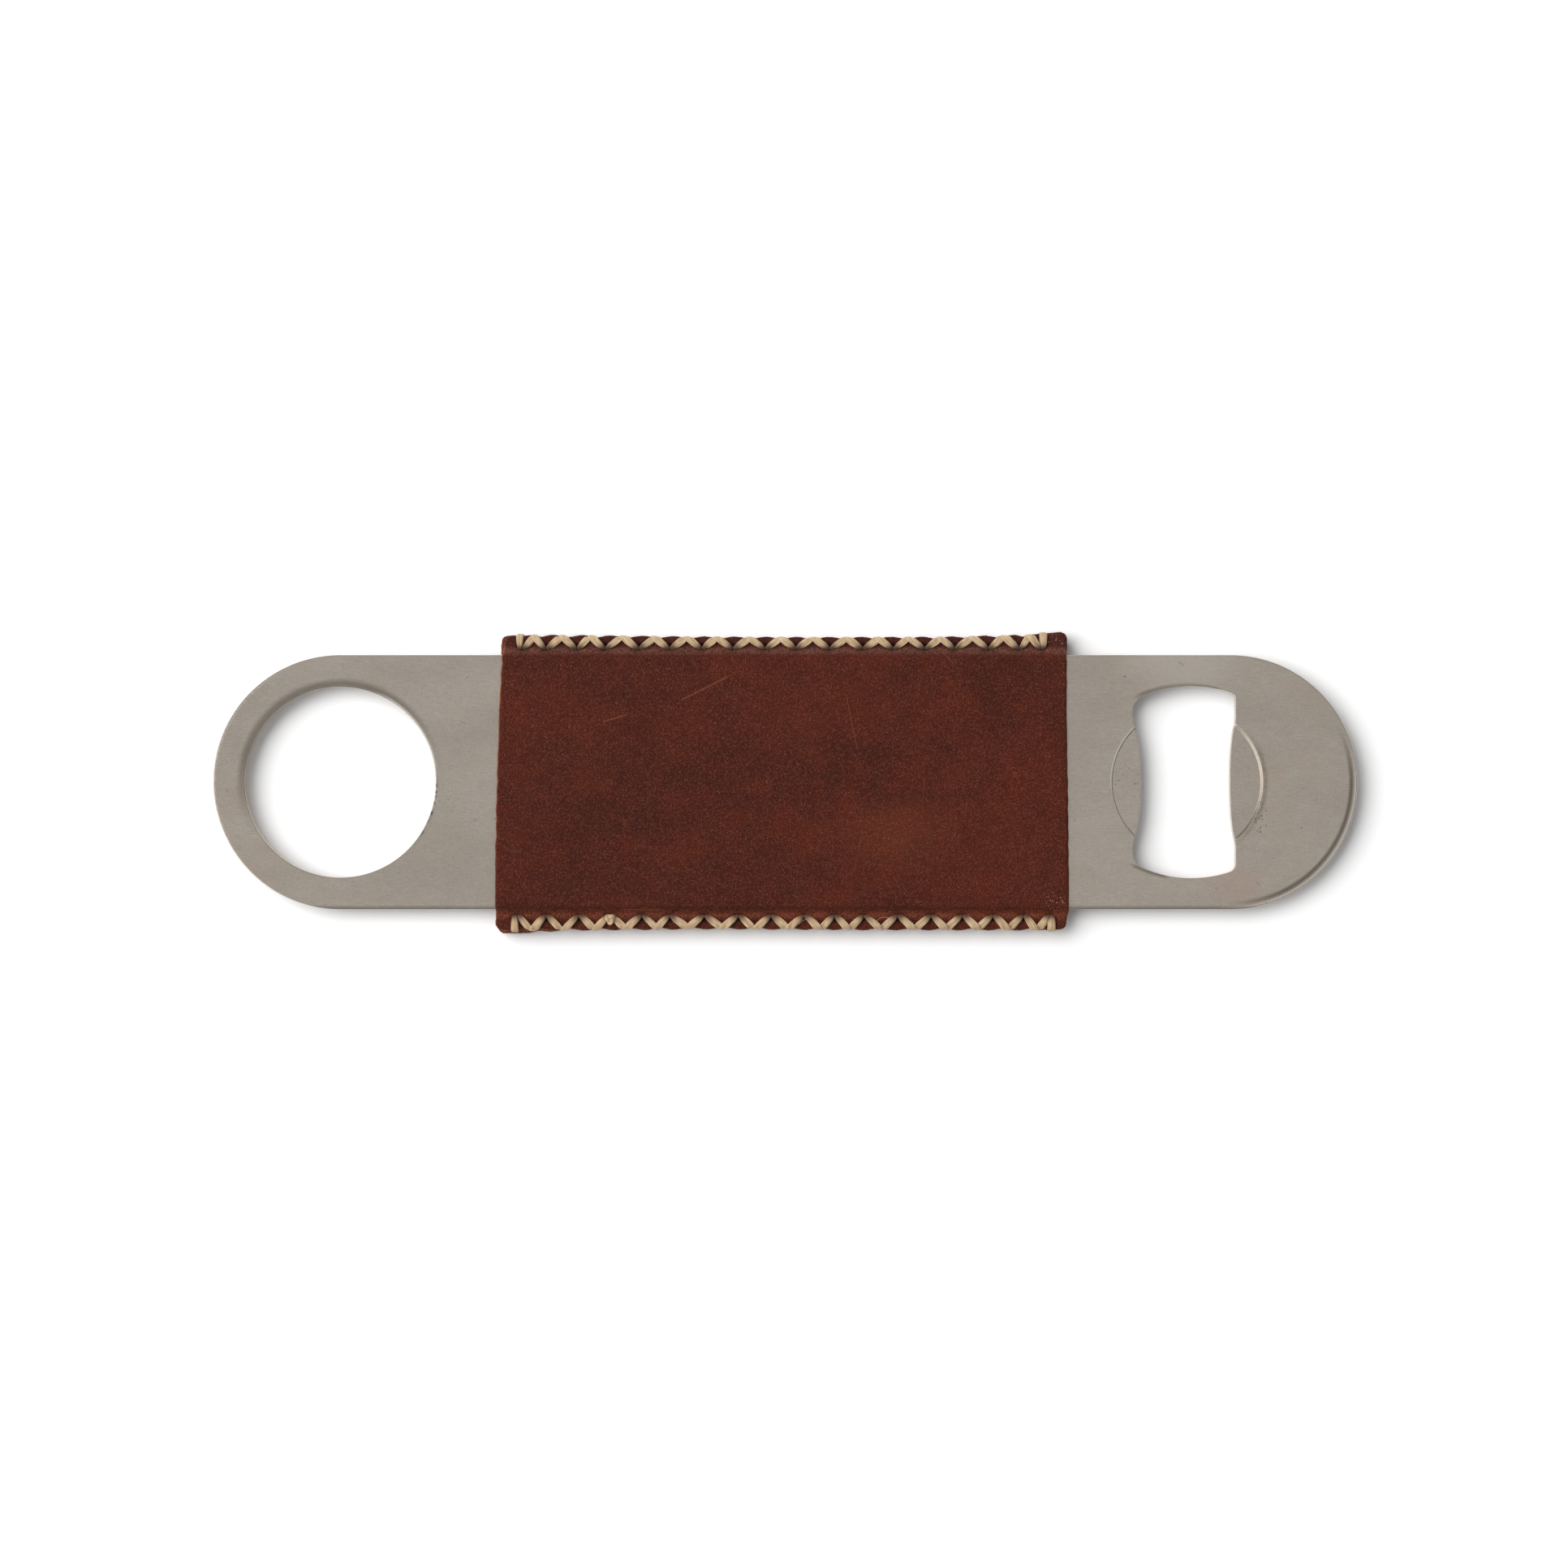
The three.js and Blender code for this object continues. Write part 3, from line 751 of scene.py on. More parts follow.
gaps = np.arange(17)
upper_parts = [ribbon(*seam_path(1, np.zeros(17), np.ones(17), 21)),
               loose_fibre(1, (-32.4, 21.5), (-30.6, 22.5), (0.3, 0.2), 1.7)]
from_right = (gaps > 8).astype(float)
lower_parts = [ribbon(*seam_path(-1, from_right, 1 - from_right, 22)),
               knot(-1, holes[-1][3] + 0.1, 21.5),
               loose_fibre(-1, (2.1, 22.3), (4.4, 22.1), (0.1, -0.7), 1.9),
               loose_fibre(-1, (13.9, 22.6), (17.2, 21.7), (-0.4, -0.9), 1.8)]
threads = []
for name, parts, solid in (("upper_whip_thread", upper_parts, "upper_seam_thread"),
                           ("lower_whip_thread", lower_parts, "lower_seam_thread")):
    points, faces, uv, stain_and_shade = gather(parts)
    piece = new_piece(name, points, faces, weld=1e-5, values={"hole_stain_and_shade": stain_and_shade}, uv=uv)
    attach(piece, "root")
    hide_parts(solid)
    threads.append(piece)

# %% [markdown]
# ## Effects that several finishes share
#
# Steel, leather and thread all need cloudy variation, fine lines, tiny specks and single strokes.
# Each effect is a node group with its own inputs, so that one recipe serves every material.

# %% A helper that wires nodes


class Wiring:
    """Adds nodes to a tree. An input is either a value or another node's output."""

    def __init__(self, tree):
        self.tree = tree

    def add(self, kind, inputs=None, output=0, **settings):
        made = self.tree.nodes.new("ShaderNode" + kind)
        for name, value in settings.items():
            setattr(made, name, value)
        for key, value in (inputs or {}).items():
            if isinstance(value, bpy.types.NodeSocket):
                self.tree.links.new(value, made.inputs[key])
            else:
                made.inputs[key].default_value = value
        return made.outputs[output]

    def math(self, operation, a, b=0.0, c=0.0, clamp=False):
        return self.add("Math", {0: a, 1: b, 2: c}, operation=operation, use_clamp=clamp)

    def vector(self, operation, a, b=(0, 0, 0)):
        return self.add("VectorMath", {0: a, 1: b}, operation=operation)

    def span(self, value, low, high, to_low=0.0, to_high=1.0):
        """Maps a value from one range to another, eased and clamped."""
        return self.add("MapRange", {0: value, 1: low, 2: high, 3: to_low, 4: to_high},
                        interpolation_type="SMOOTHSTEP")

    def blend(self, share, a, b, kind="MIX"):
        """Mixes two colours."""
        made = self.tree.nodes.new("ShaderNodeMix")
        made.data_type, made.blend_type = "RGBA", kind
        for key, value in ((0, share), (6, a), (7, b)):
            if isinstance(value, bpy.types.NodeSocket):
                self.tree.links.new(value, made.inputs[key])
            else:
                made.inputs[key].default_value = value
        return made.outputs[2]

    def noise(self, vector, scale, detail=2.0, rough=0.5):
        return self.add("TexNoise", {"Vector": vector, "Scale": scale, "Detail": detail,
                                     "Roughness": rough})

    def far_from(self, place, position, squeeze=(1, 1, 0)):
        """Distance from a place. The position is scaled by squeeze first: a number below 1 makes
        the area longer that way, and 0 leaves that axis out. The place is given as scaled."""
        return self.add("VectorMath", {0: self.vector("MULTIPLY", position, squeeze), 1: place},
                        output="Value", operation="DISTANCE")

    def group(self, tree, **inputs):
        made = self.tree.nodes.new("ShaderNodeGroup")
        made.node_tree = tree
        for key, value in inputs.items():
            socket = made.inputs[key.replace("_", " ")]
            if isinstance(value, bpy.types.NodeSocket):
                self.tree.links.new(value, socket)
            else:
                socket.default_value = value
        return made.outputs[0]


def new_group(name, inputs, result="Value"):
    """An empty node group with the named inputs and one output. Returns its wiring, its input
    node and its output socket."""
    tree = bpy.data.node_groups.new(name, "ShaderNodeTree")
    for label, kind, value in inputs:
        socket = tree.interface.new_socket(name=label, in_out="INPUT", socket_type="NodeSocket" + kind)
        socket.default_value = value
    tree.interface.new_socket(name=result, in_out="OUTPUT", socket_type="NodeSocketFloat")
    entry, leave = tree.nodes.new("NodeGroupInput"), tree.nodes.new("NodeGroupOutput")
    return Wiring(tree), entry.outputs, leave.inputs[0]


def srgb(red, green, blue):
    """A colour as it is read off a screen, 0 to 255, as the linear values that nodes take."""
    values = [v / 255 for v in (red, green, blue)]
    return tuple(v / 12.92 if v <= 0.04045 else ((v + 0.055) / 1.055) ** 2.4 for v in values) + (1.0,)


# %% Group: clouds, slow variation in two sizes
clouds, given, result = new_group("clouds", [("Position", "Vector", (0, 0, 0)), ("Size", "Float", 10.0)])
grown = clouds.vector("SCALE", given["Position"])
clouds.tree.links.new(clouds.math("DIVIDE", 1.0, given["Size"]), grown.node.inputs["Scale"])
wide_clouds = clouds.noise(grown, 1.0, 2.0, 0.5)
fine_clouds = clouds.noise(grown, 4.3, 3.0, 0.55)
clouds.tree.links.new(clouds.math("ADD", clouds.math("MULTIPLY", wide_clouds, 0.65),
                                  clouds.math("MULTIPLY", fine_clouds, 0.35)), result)

# %% Group: fine lines, as of brushing or of fibres
lines, given, result = new_group("fine_lines", [("Position", "Vector", (0, 0, 0)), ("Along", "Float", 0.1),
                                                ("Across", "Float", 4.0)])
stretch = lines.add("CombineXYZ", {0: given["Along"], 1: given["Across"], 2: given["Across"]})
stretched = lines.vector("MULTIPLY", given["Position"], stretch)
coarse_lines = lines.noise(stretched, 1.0, 2.0, 0.6)
hair_lines = lines.noise(lines.vector("ADD", stretched, (31.0, 7.0, 3.0)), 2.9, 2.0, 0.6)
lines.tree.links.new(lines.math("ADD", lines.math("MULTIPLY", coarse_lines, 0.55),
                                lines.math("MULTIPLY", hair_lines, 0.45)), result)

# %% Group: specks, a few small dots with uneven edges
specks, given, result = new_group("specks", [("Position", "Vector", (0, 0, 0)), ("Per mm", "Float", 1.0),
                                             ("Radius", "Float", 0.1), ("Share", "Float", 0.3)])
cells = specks.tree.nodes.new("ShaderNodeTexVoronoi")
specks.tree.links.new(given["Position"], cells.inputs["Vector"])
specks.tree.links.new(given["Per mm"], cells.inputs["Scale"])
picked = specks.tree.nodes.new("ShaderNodeSeparateColor")
specks.tree.links.new(cells.outputs["Color"], picked.inputs[0])
chosen = specks.math("LESS_THAN", picked.outputs[0], given["Share"])
reach_out = specks.math("MULTIPLY", given["Radius"], given["Per mm"])
size_here = specks.math("MULTIPLY", reach_out, specks.math("ADD", 0.5, picked.outputs[1]))
soft_dot = specks.math("SUBTRACT", 1.0, specks.math("DIVIDE", cells.outputs["Distance"], size_here), clamp=True)
specks.tree.links.new(specks.math("MULTIPLY", chosen, specks.span(soft_dot, 0.0, 0.6)), result)

# %% Group: band, a round stripe that is strongest towards one side
band, given, result = new_group("band", [("Position", "Vector", (0, 0, 0)), ("Middle", "Vector", (0, 0, 0)),
                                         ("Radius", "Float", 10.0), ("Half width", "Float", 0.5),
                                         ("Toward", "Vector", (1, 0, 0)), ("From", "Float", 0.0),
                                         ("Full", "Float", 0.8)])
# Distance from the middle, less the radius, gives the stripe. The outward direction's share along
# Toward gives the side: nothing below From, all of it above Full.
outward = band.vector("MULTIPLY", band.vector("SUBTRACT", given["Position"], given["Middle"]), (1, 1, 0))
far = band.add("VectorMath", {0: outward}, output="Value", operation="LENGTH")
off = band.math("ABSOLUTE", band.math("SUBTRACT", far, given["Radius"]))
stripe = band.math("SUBTRACT", 1.0, band.math("DIVIDE", off, given["Half width"]), clamp=True)
sideways = band.add("VectorMath", {0: band.vector("NORMALIZE", outward), 1: given["Toward"]},
                    output="Value", operation="DOT_PRODUCT")
band.tree.links.new(band.math("MULTIPLY", band.span(stripe, 0.0, 1.0),
                              band.span(sideways, given["From"], given["Full"])), result)

# %% Group: one stroke, a soft line between two places
stroke, given, result = new_group("stroke", [("Position", "Vector", (0, 0, 0)), ("From", "Vector", (0, 0, 0)),
                                             ("To", "Vector", (1, 0, 0)), ("Width", "Float", 0.1)])
# Distance to a line piece: the position's share of the way, held between 0 and 1, gives the
# nearest place on it.
ahead = stroke.vector("SUBTRACT", given["To"], given["From"])
offset = stroke.vector("SUBTRACT", stroke.vector("MULTIPLY", given["Position"], (1, 1, 0)), given["From"])
ahead_share, whole_share = [stroke.add("VectorMath", {0: way, 1: ahead}, output="Value",
                                       operation="DOT_PRODUCT") for way in (offset, ahead)]
along = stroke.math("DIVIDE", ahead_share, whole_share, clamp=True)
foot = stroke.vector("SCALE", ahead)
stroke.tree.links.new(along, foot.node.inputs["Scale"])
apart = stroke.add("VectorMath", {0: stroke.vector("SUBTRACT", offset, foot)}, output="Value",
                   operation="LENGTH")
closeness = stroke.math("SUBTRACT", 1.0, stroke.math("DIVIDE", apart, given["Width"]), clamp=True)
ends_fade = stroke.math("MULTIPLY", stroke.span(along, 0.0, 0.15), stroke.span(along, 1.0, 0.8))
stroke.tree.links.new(stroke.math("MULTIPLY", stroke.span(closeness, 0.0, 1.0), ends_fade), result)
print("groups:", [tree.name for tree in bpy.data.node_groups])

# %% [markdown]
# ## Materials
#
# ### Steel
# The strip is bare brushed steel. Fine lines run along it, with cloudy dulling, dark pits, a few
# scratches and some rust beside the slot. Brushing could be done with roughness and bump alone.
# Here most of it is in the colour, with a small change of roughness and a shallow bump.

# %% Start of a material


def new_material(name):
    """A material with an empty tree but for its shader. Returns the wiring, the shader and the
    position in millimetres."""
    made = bpy.data.materials.new(name)
    made.use_nodes = True
    wiring = Wiring(made.node_tree)
    shader = made.node_tree.nodes["Principled BSDF"]
    place = wiring.add("TexCoord", output="Object")
    millimetres = wiring.vector("SCALE", place)
    millimetres.node.inputs["Scale"].default_value = 1 / MM
    return made, wiring, shader, millimetres


def wire(wiring, shader, **sockets):
    for name, socket in sockets.items():
        wiring.tree.links.new(socket, shader.inputs[name.replace("_", " ")])


def report(material, what):
    """Says which layer has been added and how many nodes the material has by now."""
    print(f"{material.name}: {what}, {len(material.node_tree.nodes)} nodes")


def strokes(wiring, position, list_of_strokes):
    """The strongest of several strokes at each place."""
    total = None
    for start, end, width in list_of_strokes:
        mask = wiring.group(stroke.tree, Position=position, From=(*start, 0), To=(*end, 0), Width=width)
        total = mask if total is None else wiring.math("MAXIMUM", total, mask)
    return total


# %% Brushed steel: the bare metal
steel, w, shader, mm = new_material("brushed_steel")
brushing = w.group(lines.tree, Position=mm, Along=0.75, Across=7.0)
crossing = w.group(lines.tree, Position=w.vector("MULTIPLY", mm, (-1.0, 1.0, 1.0)), Along=5.0, Across=0.9)
dulling = w.group(clouds.tree, Position=w.vector("MULTIPLY", mm, (0.6, 1.3, 1.0)), Size=11.0)
dust = w.noise(mm, 3.6, 4.0, 0.8)
tone = w.math("ADD", w.math("MULTIPLY", w.span(brushing, 0.36, 0.64), 0.45),
              w.math("MULTIPLY", w.span(dust, 0.34, 0.66), 0.35))
tone = w.math("ADD", tone, w.math("MULTIPLY", w.span(crossing, 0.36, 0.64), 0.13))
metal = w.blend(w.span(dulling, 0.3, 0.7), srgb(219, 208, 194), srgb(231, 220, 206))
colour = w.blend(tone, w.blend(0.32, metal, srgb(86, 76, 66)), metal)
tinted = w.math("MULTIPLY", w.span(w.noise(mm, 0.11, 3.0, 0.6), 0.5, 0.75), 0.35)
colour = w.blend(tinted, colour, srgb(216, 190, 170))
blush_far = w.far_from((49.5, -15.6, 0), mm, (0.7, 1, 0))
colour = w.blend(w.span(blush_far, 4.5, 0.8, 0.0, 0.4), colour, srgb(222, 188, 176))
report(steel, "bare metal")

# %% [markdown]
# The edges of the ring, the slot and the press wall are darker or lighter than the flat metal. The
# lighter lines on the ring hole's edge, the outer rim at both ends and the press wall are painted
# highlights, and a paler patch above the slot is painted sheen. The darker bands lie along the ring
# hole, the press wall, the slot's arch, the lower right end and the lower edge. It may be wear or a
# reflection, and one look from above can't separate the two. All are painted by place, so they stay
# where they are when the light changes. The bands read only x and y, so they show on the underside
# too, where the press wall is wider and softer than these lines.

# %% Brushed steel: dark bands
noisy = w.span(w.noise(mm, 1.7, 3.0, 0.7), 0.35, 0.65)
ring_middle, end_middle, seat_middle = (RING_X, 0, 0), (END_X, 0, 0), (PRESS_X, 0, 0)


def round_band(middle, radius, half_width, toward, start, full):
    """A round stripe on the steel, strongest on the side that toward points to."""
    return w.group(band.tree, Position=mm, Middle=middle, Radius=radius, Half_width=half_width,
                   Toward=(*toward, 0), From=start, Full=full)


# Darker round bands along the ring hole, the lower right end, the press wall and the slot's arch.
ring_dark = round_band(ring_middle, 15.5, 1.1, (-0.35, 0.94), -0.3, 0.7)
end_dark = round_band(end_middle, HALF_WIDTH - 0.95, 0.6, (0.85, -0.53), 0.45, 0.9)
smudge = round_band(seat_middle, PRESS_RADIUS + 0.4, 0.6, (0.97, -0.1), 0.6, 0.95)
arch = round_band((63.2, -3.4, 0), 18.65, 0.55, (-0.08, 0.997), 0.915, 0.96)
corner = round_band((63.2, 3.4, 0), 18.55, 0.45, (-0.32, -0.947), 0.982, 0.994)
slot_dark = w.math("MULTIPLY", w.math("MAXIMUM", arch, corner), 0.55)
# Darker along the lower edge of the strip.
low_edge = w.span(w.add("SeparateXYZ", {0: mm}, output="Y"), -HALF_WIDTH + 0.75, -HALF_WIDTH + 0.2)
dark_edge_bands = w.math("MAXIMUM", w.math("MULTIPLY", ring_dark, 0.55), w.math("MULTIPLY", end_dark, 0.75))
dark_edge_bands = w.math("MAXIMUM", dark_edge_bands, w.math("MAXIMUM", slot_dark, w.math("MULTIPLY", low_edge, 0.45)))
smudge_share = w.math("ADD", 0.22, w.math("MULTIPLY", noisy, 0.22))
dark_edge_bands = w.math("MAXIMUM", dark_edge_bands, w.math("MULTIPLY", smudge, smudge_share))
colour = w.blend(dark_edge_bands, colour, srgb(104, 92, 80))
report(steel, "dark bands")

# %% Brushed steel: painted highlights
# Painted highlights: pale lines on the ring hole's edge, the outer rim at both ends and the press wall.
ring_pale = round_band(ring_middle, 15.25, 0.3, (0.8, 0.6), 0.82, 0.97)
rim_right = round_band(end_middle, HALF_WIDTH - 0.3, 0.24, (0.78, -0.62), 0.5, 0.9)
rim_left = round_band(ring_middle, HALF_WIDTH - 0.3, 0.24, (-0.97, 0.24), 0.5, 0.95)
ledge = round_band(seat_middle, PRESS_RADIUS - 0.17, 0.3, (0.97, 0.26), 0.55, 0.95)
ledge_ends = round_band(seat_middle, PRESS_RADIUS + 0.16, 0.16, (-0.9, 0.42), 0.75, 1.0)
rims = w.math("MAXIMUM", rim_right, w.math("MULTIPLY", rim_left, noisy))
painted_highlights = w.math("MAXIMUM", w.math("MAXIMUM", ring_pale, ledge_ends), rims)
colour = w.blend(w.math("MULTIPLY", painted_highlights, 0.7), colour, srgb(255, 248, 236))
colour = w.blend(w.math("MULTIPLY", ledge, 0.8), colour, srgb(250, 244, 230))
# Painted sheen: a paler patch on the steel above the slot.
over_slot = w.far_from((37.6, 19.5, 0), mm, (0.6, 1, 0))
colour = w.blend(w.span(over_slot, 7.5, 2.0, 0.0, 0.35), colour, srgb(246, 236, 224))
report(steel, "pale bands")

# %% Brushed steel: pits and rust
jitter = w.add("TexNoise", {"Vector": mm, "Scale": 5.0, "Detail": 2.0}, output="Color")
shaken = w.vector("SUBTRACT", jitter, (0.5, 0.5, 0.5))
jagged = w.vector("ADD", mm, w.vector("MULTIPLY", shaken, (0.5, 0.5, 0.5)))
pits = w.group(specks.tree, Position=jagged, Per_mm=0.9, Radius=0.13, Share=0.08)
fine_pits = w.group(specks.tree, Position=mm, Per_mm=2.4, Radius=0.07, Share=0.08)
chipped = round_band(ring_middle, 15.2, 0.3, (0.96, -0.28), 0.9, 0.99)
colour = w.blend(w.math("MULTIPLY", chipped, w.math("MULTIPLY", noisy, 0.9)), colour, srgb(70, 60, 52))
near_seat = w.span(w.far_from((54.0, 0.5, 0), mm), 4.2, 1.5)
near_ring = w.span(w.far_from((-52.9, -3.9, 0), mm), 2.2, 1.0)
dense_pits = w.group(specks.tree, Position=w.vector("ADD", jagged, (5.1, 2.2, 0)), Per_mm=2.0,
                     Radius=0.12, Share=0.35)
seat_pits = w.math("MULTIPLY", dense_pits, w.math("MAXIMUM", near_seat, near_ring))
colour = w.blend(w.math("MULTIPLY", w.math("MAXIMUM", pits, seat_pits), 0.55), colour, srgb(84, 70, 58))
colour = w.blend(w.math("MULTIPLY", fine_pits, 0.35), colour, srgb(110, 98, 84))
near_rust = w.span(w.far_from((74.8, -1.9, 0), mm, (1, 0.32, 0)), 1.4, 0.8)
rust_dots = w.group(specks.tree, Position=w.vector("ADD", jagged, (3.3, 1.7, 0)), Per_mm=2.3,
                    Radius=0.15, Share=0.7)
on_top = w.span(w.add("SeparateXYZ", {0: mm}, output="Z"), 1.6, 2.6)
rust = w.math("MULTIPLY", rust_dots, w.math("MULTIPLY", on_top, near_rust))
colour = w.blend(w.math("MULTIPLY", rust, 0.75), colour, srgb(128, 84, 56))
report(steel, "pits and rust")

# %% Brushed steel: scratches, roughness and bump
scratches = strokes(w, mm, [((61.8, 19.0), (62.8, 18.2), 0.1), ((-51.5, 9.8), (-49.6, 8.9), 0.06),
                            ((74.0, -15.7), (74.9, -16.3), 0.1)])
colour = w.blend(w.math("MULTIPLY", scratches, 0.55), colour, srgb(92, 80, 68))
bright_scratches = strokes(w, mm, [((48.0, -1.2), (51.5, -1.6), 0.05), ((-50.2, 9.2), (-49.8, 8.6), 0.12),
                                   ((80.5, -3.5), (83.5, -3.9), 0.05)])
colour = w.blend(w.math("MULTIPLY", bright_scratches, 0.5), colour, srgb(235, 230, 220))
roughness = w.math("ADD", w.span(brushing, 0.3, 0.7, 0.29, 0.36), w.math("MULTIPLY", rust, 0.3))
roughness = w.math("ADD", roughness, w.math("MULTIPLY", dark_edge_bands, 0.15))
relief = w.math("SUBTRACT", w.math("MULTIPLY", brushing, 0.35), w.math("MULTIPLY", pits, 0.6))
relief = w.math("SUBTRACT", relief, w.math("MULTIPLY", w.math("ADD", scratches, seat_pits), 0.5))
bump = w.add("Bump", {"Height": relief, "Distance": 0.015 * MM, "Strength": 0.6})
wire(w, shader, Base_Color=colour, Roughness=roughness, Normal=bump)
shader.inputs["Metallic"].default_value = 1.0
report(steel, "finished")

# %% [markdown]
# ### Leather
# The hides are oiled pull-up leather with a pebbled grain about a quarter of a millimetre across:
# dark in the pores, redder on the tops, paler where it is rubbed. The cut edges are left raw, so the
# pale fibre shows there, marked by the raw_edge value of the mesh. The darker flange and the rubs are
# painted by place, with a painted sheen on the upper bend, painted light on the lower bend and
# painted shade in the creases and the holes, and both hides carry them.

# %% Pebbled leather
leather, w, shader, mm = new_material("oiled_leather")
warp = w.add("TexNoise", {"Vector": mm, "Scale": 0.9, "Detail": 2.0}, output="Color")
warped = w.vector("MULTIPLY", w.vector("SUBTRACT", warp, (0.5, 0.5, 0.5)), (0.7, 0.7, 0.7))
bent = w.vector("ADD", mm, warped)
bent = w.vector("MULTIPLY", bent, (1.12, 0.9, 1.0))
pebbles = w.tree.nodes.new("ShaderNodeTexVoronoi")
w.tree.links.new(bent, pebbles.inputs["Vector"])
pebbles.inputs["Scale"].default_value = 3.8
pebbles.inputs["Randomness"].default_value = 0.75
each = w.tree.nodes.new("ShaderNodeSeparateColor")
w.tree.links.new(pebbles.outputs["Color"], each.inputs[0])
tops = w.span(pebbles.outputs["Distance"], 0.55, 0.0)
grain = w.noise(w.vector("MULTIPLY", mm, (1.3, 0.75, 1.0)), 3.2, 4.0, 0.7)
fine = w.noise(mm, 6.5, 2.0, 0.6)
# Every pebble has its own lightness; finer folds run between them and over them
height = w.math("MULTIPLY", tops, w.math("ADD", 0.45, w.math("MULTIPLY", each.outputs[0], 0.55)))
height = w.math("ADD", w.math("MULTIPLY", height, 0.66), w.math("MULTIPLY", w.span(grain, 0.3, 0.7), 0.28))
height = w.math("ADD", height, w.math("MULTIPLY", w.span(fine, 0.3, 0.7), 0.17))
colour = w.blend(w.span(height, 0.1, 0.9), srgb(48, 17, 10), srgb(113, 62, 48))
report(leather, "pebbles and folds")

# %% Leather: slow variation and glints
mottled = w.group(clouds.tree, Position=w.vector("MULTIPLY", mm, (0.6, 1.0, 1.0)), Size=14.0)
colour = w.blend(w.span(mottled, 0.34, 0.68), w.blend(0.14, colour, srgb(52, 24, 18)),
                 w.blend(0.14, colour, srgb(118, 46, 24)))
patchy = w.group(clouds.tree, Position=w.vector("ADD", mm, (31.0, 5.0, 0)), Size=3.6)
colour = w.blend(w.span(patchy, 0.36, 0.66), w.blend(0.09, colour, srgb(54, 28, 24)),
                 w.blend(0.09, colour, srgb(112, 40, 18)))
worn = w.far_from((10.4, -8.2, 0), mm, (0.6, 1, 0))
colour = w.blend(w.span(worn, 7.5, 1.0, 0.0, 0.09), colour, srgb(150, 80, 52))
glints = w.group(specks.tree, Position=mm, Per_mm=2.4, Radius=0.08, Share=0.5)
colour = w.blend(w.math("MULTIPLY", glints, 0.3), colour, srgb(156, 104, 88))
report(leather, "variation and glints")

# %% Leather: painted bend sheen, flange, painted bend light and scuffed corners
# A painted sheen lies along the bend towards the upper seam, and the flange above it is darker.
# The bend towards the lower seam is painted paler, as painted light. The two corners at the slot's
# end are scuffed.
up = w.add("SeparateXYZ", {0: mm}, output="Y")
# Painted sheen: a paler, greyer band along the upper bend.
painted_bend_sheen = w.math("MULTIPLY", w.span(up, 19.7, 20.4), w.span(up, 21.6, 20.9))
colour = w.blend(w.math("MULTIPLY", painted_bend_sheen, w.span(grain, 0.35, 0.65, 0.08, 0.6)), colour, srgb(112, 78, 68))
flange = w.span(up, 20.9, 21.6)
colour = w.blend(w.math("MULTIPLY", flange, 0.4), colour, srgb(52, 28, 28))
# Painted light: the lower bend is painted paler, against the shade of its slope.
painted_lower_bend_light = w.math("MULTIPLY", w.span(up, -19.6, -20.5), w.span(up, -21.8, -20.9))
colour = w.blend(w.math("MULTIPLY", painted_lower_bend_light, w.span(grain, 0.35, 0.65, 0.05, 0.38)), colour, srgb(146, 80, 58))
corner_far = w.far_from((42.4, -18.8, 0), mm)
scuff = w.group(specks.tree, Position=w.vector("ADD", mm, (0.3, 0.1, 0)), Per_mm=3.2, Radius=0.1, Share=0.45)
upper_far = w.far_from((42.2, 21.9, 0), mm)
scuffed = w.math("MAXIMUM", w.span(corner_far, 2.1, 0.8), w.span(upper_far, 2.3, 1.2, 0.0, 0.8))
scuff = w.math("MULTIPLY", scuff, scuffed)
colour = w.blend(w.math("MULTIPLY", scuff, 0.6), colour, srgb(186, 156, 140))
report(leather, "bloom, flange and scuffs")

# %% Leather: rubs, creases, painted hole shade and raw edges
rubs = strokes(w, mm, [((-16.9, 12.6), (-8.0, 17.1), 0.22), ((-29, 9.4), (-24.6, 10.7), 0.2),
                       ((9.4, 14.3), (11.5, 4.2), 0.1), ((23.5, 21.6), (26.8, 18.2), 0.12),
                       ((-26.5, -20.0), (-18.5, -19.95), 0.16)])
colour = w.blend(w.math("MULTIPLY", rubs, 0.4), colour, srgb(140, 76, 52))
# Painted shade: the creases are painted darker, and the bump below dents them.
creases = strokes(w, mm, [((26.0, -19.9), (29.4, -19.75), 0.16), ((19.5, -20.0), (24.0, -19.95), 0.12),
                          ((-18, -20.6), (-16, -19.6), 0.35)])
colour = w.blend(w.math("MULTIPLY", creases, 0.5), colour, srgb(48, 18, 14))
# Painted shade: the pits at the holes are painted dark, as holes in shade.
hole_shade = w.add("Attribute", attribute_name="hole_stain_and_shade", output="Fac")
colour = w.blend(w.math("MULTIPLY", hole_shade, 0.8), colour, srgb(30, 13, 10))
raw = w.add("Attribute", attribute_name="raw_edge", output="Fac")
fibre = w.noise(mm, 7.0, 3.0, 0.7)
raw_colour = w.blend(w.span(fibre, 0.35, 0.65), srgb(74, 38, 26), srgb(150, 92, 60))
raw_shown = w.math("MULTIPLY", raw, w.math("SUBTRACT", 1.0, w.math("MULTIPLY", flange, 0.65)))
frayed = w.span(w.math("ADD", fibre, w.math("MULTIPLY", raw, 0.4)), 0.6, 0.9)
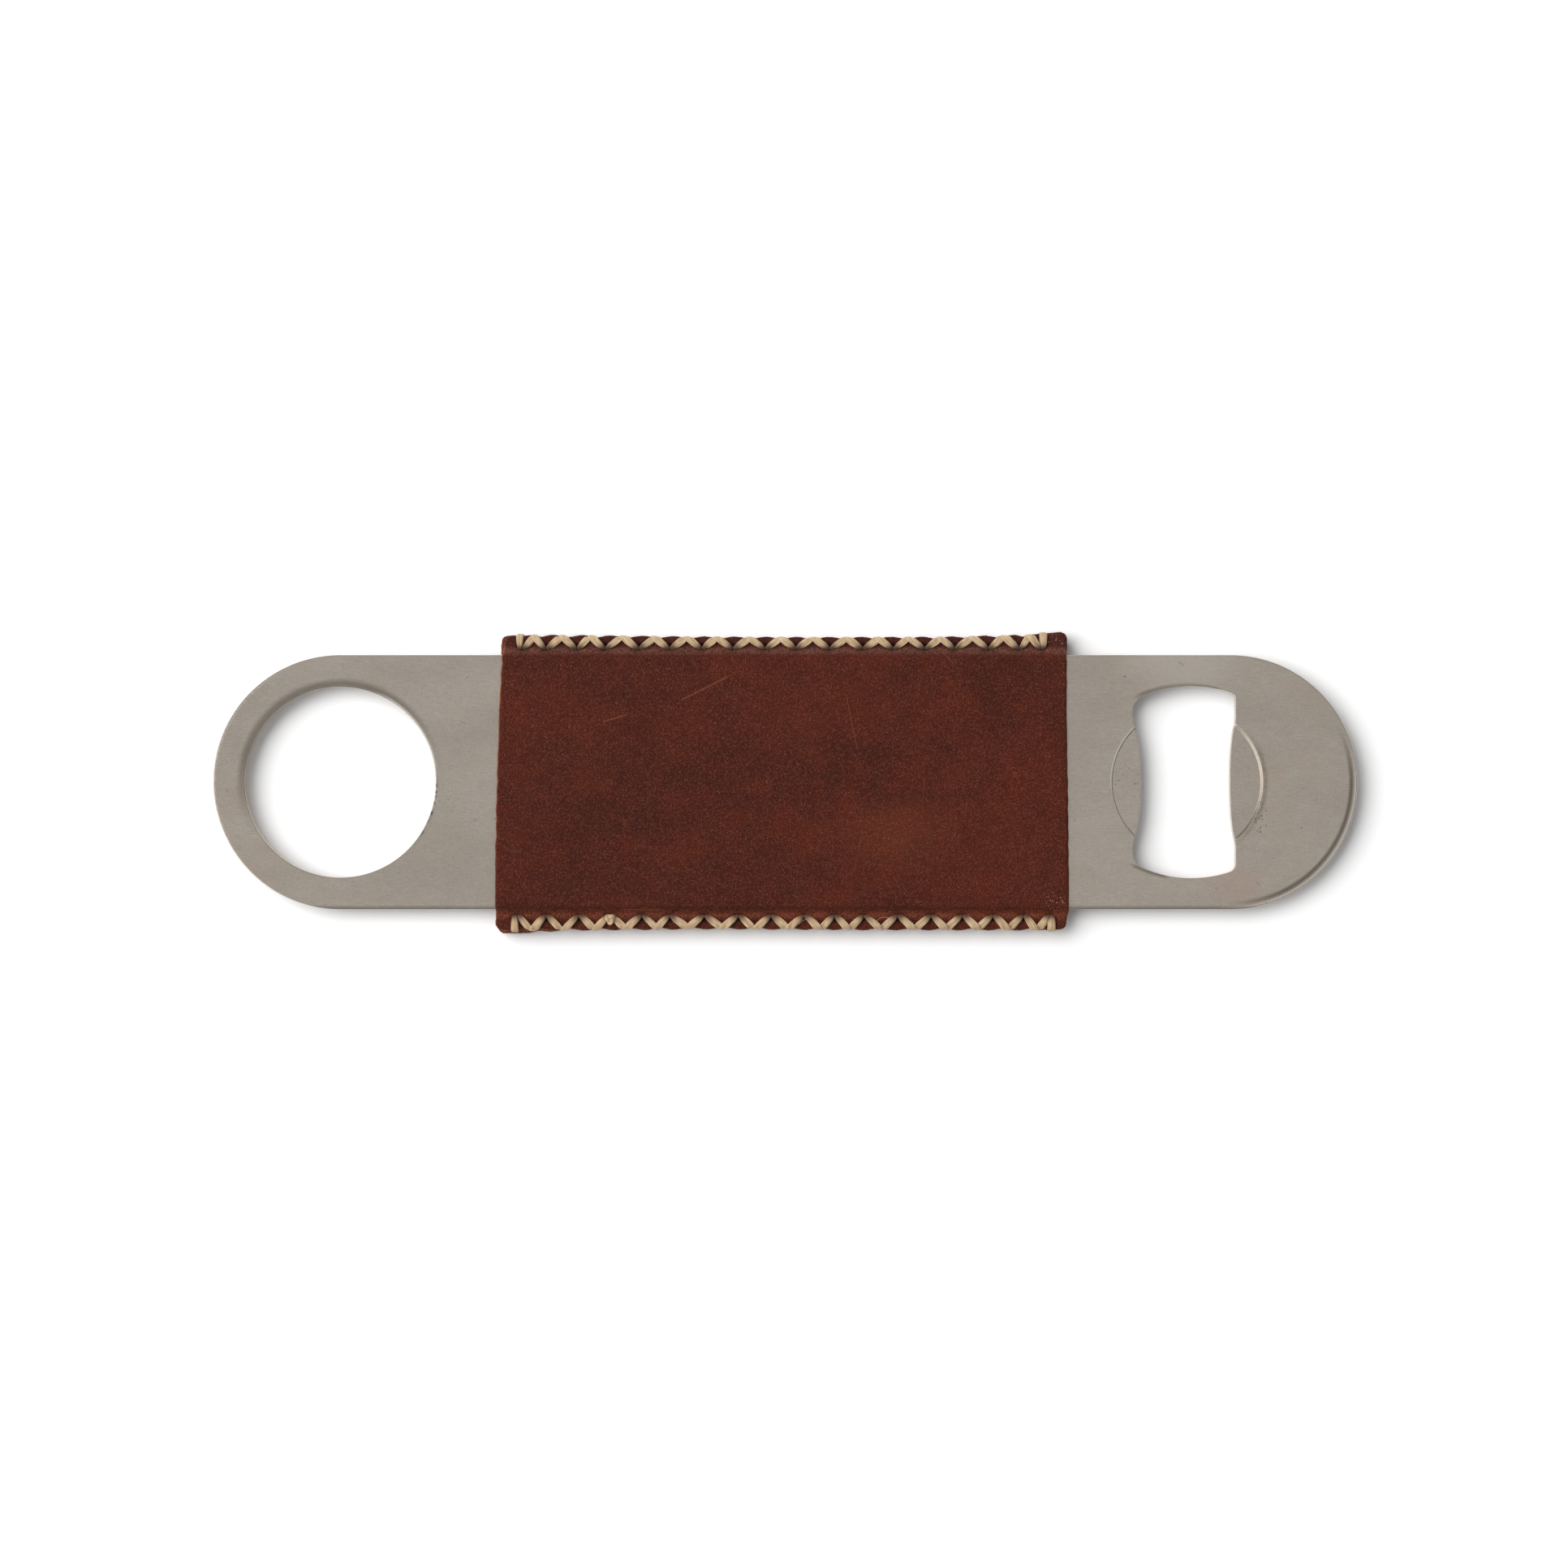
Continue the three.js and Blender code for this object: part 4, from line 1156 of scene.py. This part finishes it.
colour = w.blend(w.math("MULTIPLY", raw_shown, frayed), colour, raw_colour)
report(leather, "rubs, creases, painted_hole_shade and raw edges")

# %% Leather: roughness and bump
roughness = w.math("ADD", w.span(height, 0.3, 0.9, 0.6, 0.48), w.math("MULTIPLY", raw, 0.35))
bump = w.add("Bump", {"Height": height, "Distance": 0.035 * MM, "Strength": 0.7})
crease_bump = w.add("Bump", {"Height": w.math("MULTIPLY", w.math("ADD", creases, rubs), -1.0),
                             "Distance": 0.08 * MM, "Strength": 0.5, "Normal": bump})
wire(w, shader, Base_Color=colour, Roughness=roughness, Normal=crease_bump)
shader.inputs["Specular IOR Level"].default_value = 0.14
report(leather, "finished")

# %% [markdown]
# ### Thread
# The thread is a flat, lightly waxed linen or synthetic sinew: pale straw, made of fine fibres that
# run along it. Where it goes into the leather's holes it is darker: stained brown, and painted
# shade of the holes.

# %% Waxed thread
waxed, w, shader, mm = new_material("waxed_thread")
uv = w.add("UVMap", uv_map="thread_uv")
fibres = w.group(lines.tree, Position=uv, Along=0.35, Across=26.0)
patches = w.group(clouds.tree, Position=mm, Size=5.0)
colour = w.blend(w.span(fibres, 0.36, 0.64), srgb(140, 112, 82), srgb(210, 184, 148))
colour = w.blend(w.span(patches, 0.3, 0.7), w.blend(0.25, colour, srgb(168, 138, 98)), colour)
# Painted shade and stain: darker brown where the thread goes into the holes.
stain_and_shade = w.add("Attribute", attribute_name="hole_stain_and_shade", output="Fac")
colour = w.blend(w.span(stain_and_shade, 0.15, 0.95, 0.0, 0.9), colour, srgb(66, 40, 24))
bump = w.add("Bump", {"Height": fibres, "Distance": 0.08 * MM, "Strength": 0.7})
wire(w, shader, Base_Color=colour, Normal=bump)
shader.inputs["Roughness"].default_value = 0.62
shader.inputs["Sheen Weight"].default_value = 0.15
shader.inputs["Sheen Roughness"].default_value = 0.5
report(waxed, "finished")

# %% Dress the pieces
blade.data.materials.append(steel)
for piece in (front_hide, back_hide):
    piece.data.materials.append(leather)
for piece in threads:
    piece.data.materials.append(waxed)
for piece in (blade, front_hide, back_hide, *threads):
    print(piece.name, "wears", piece.data.materials[0].name)
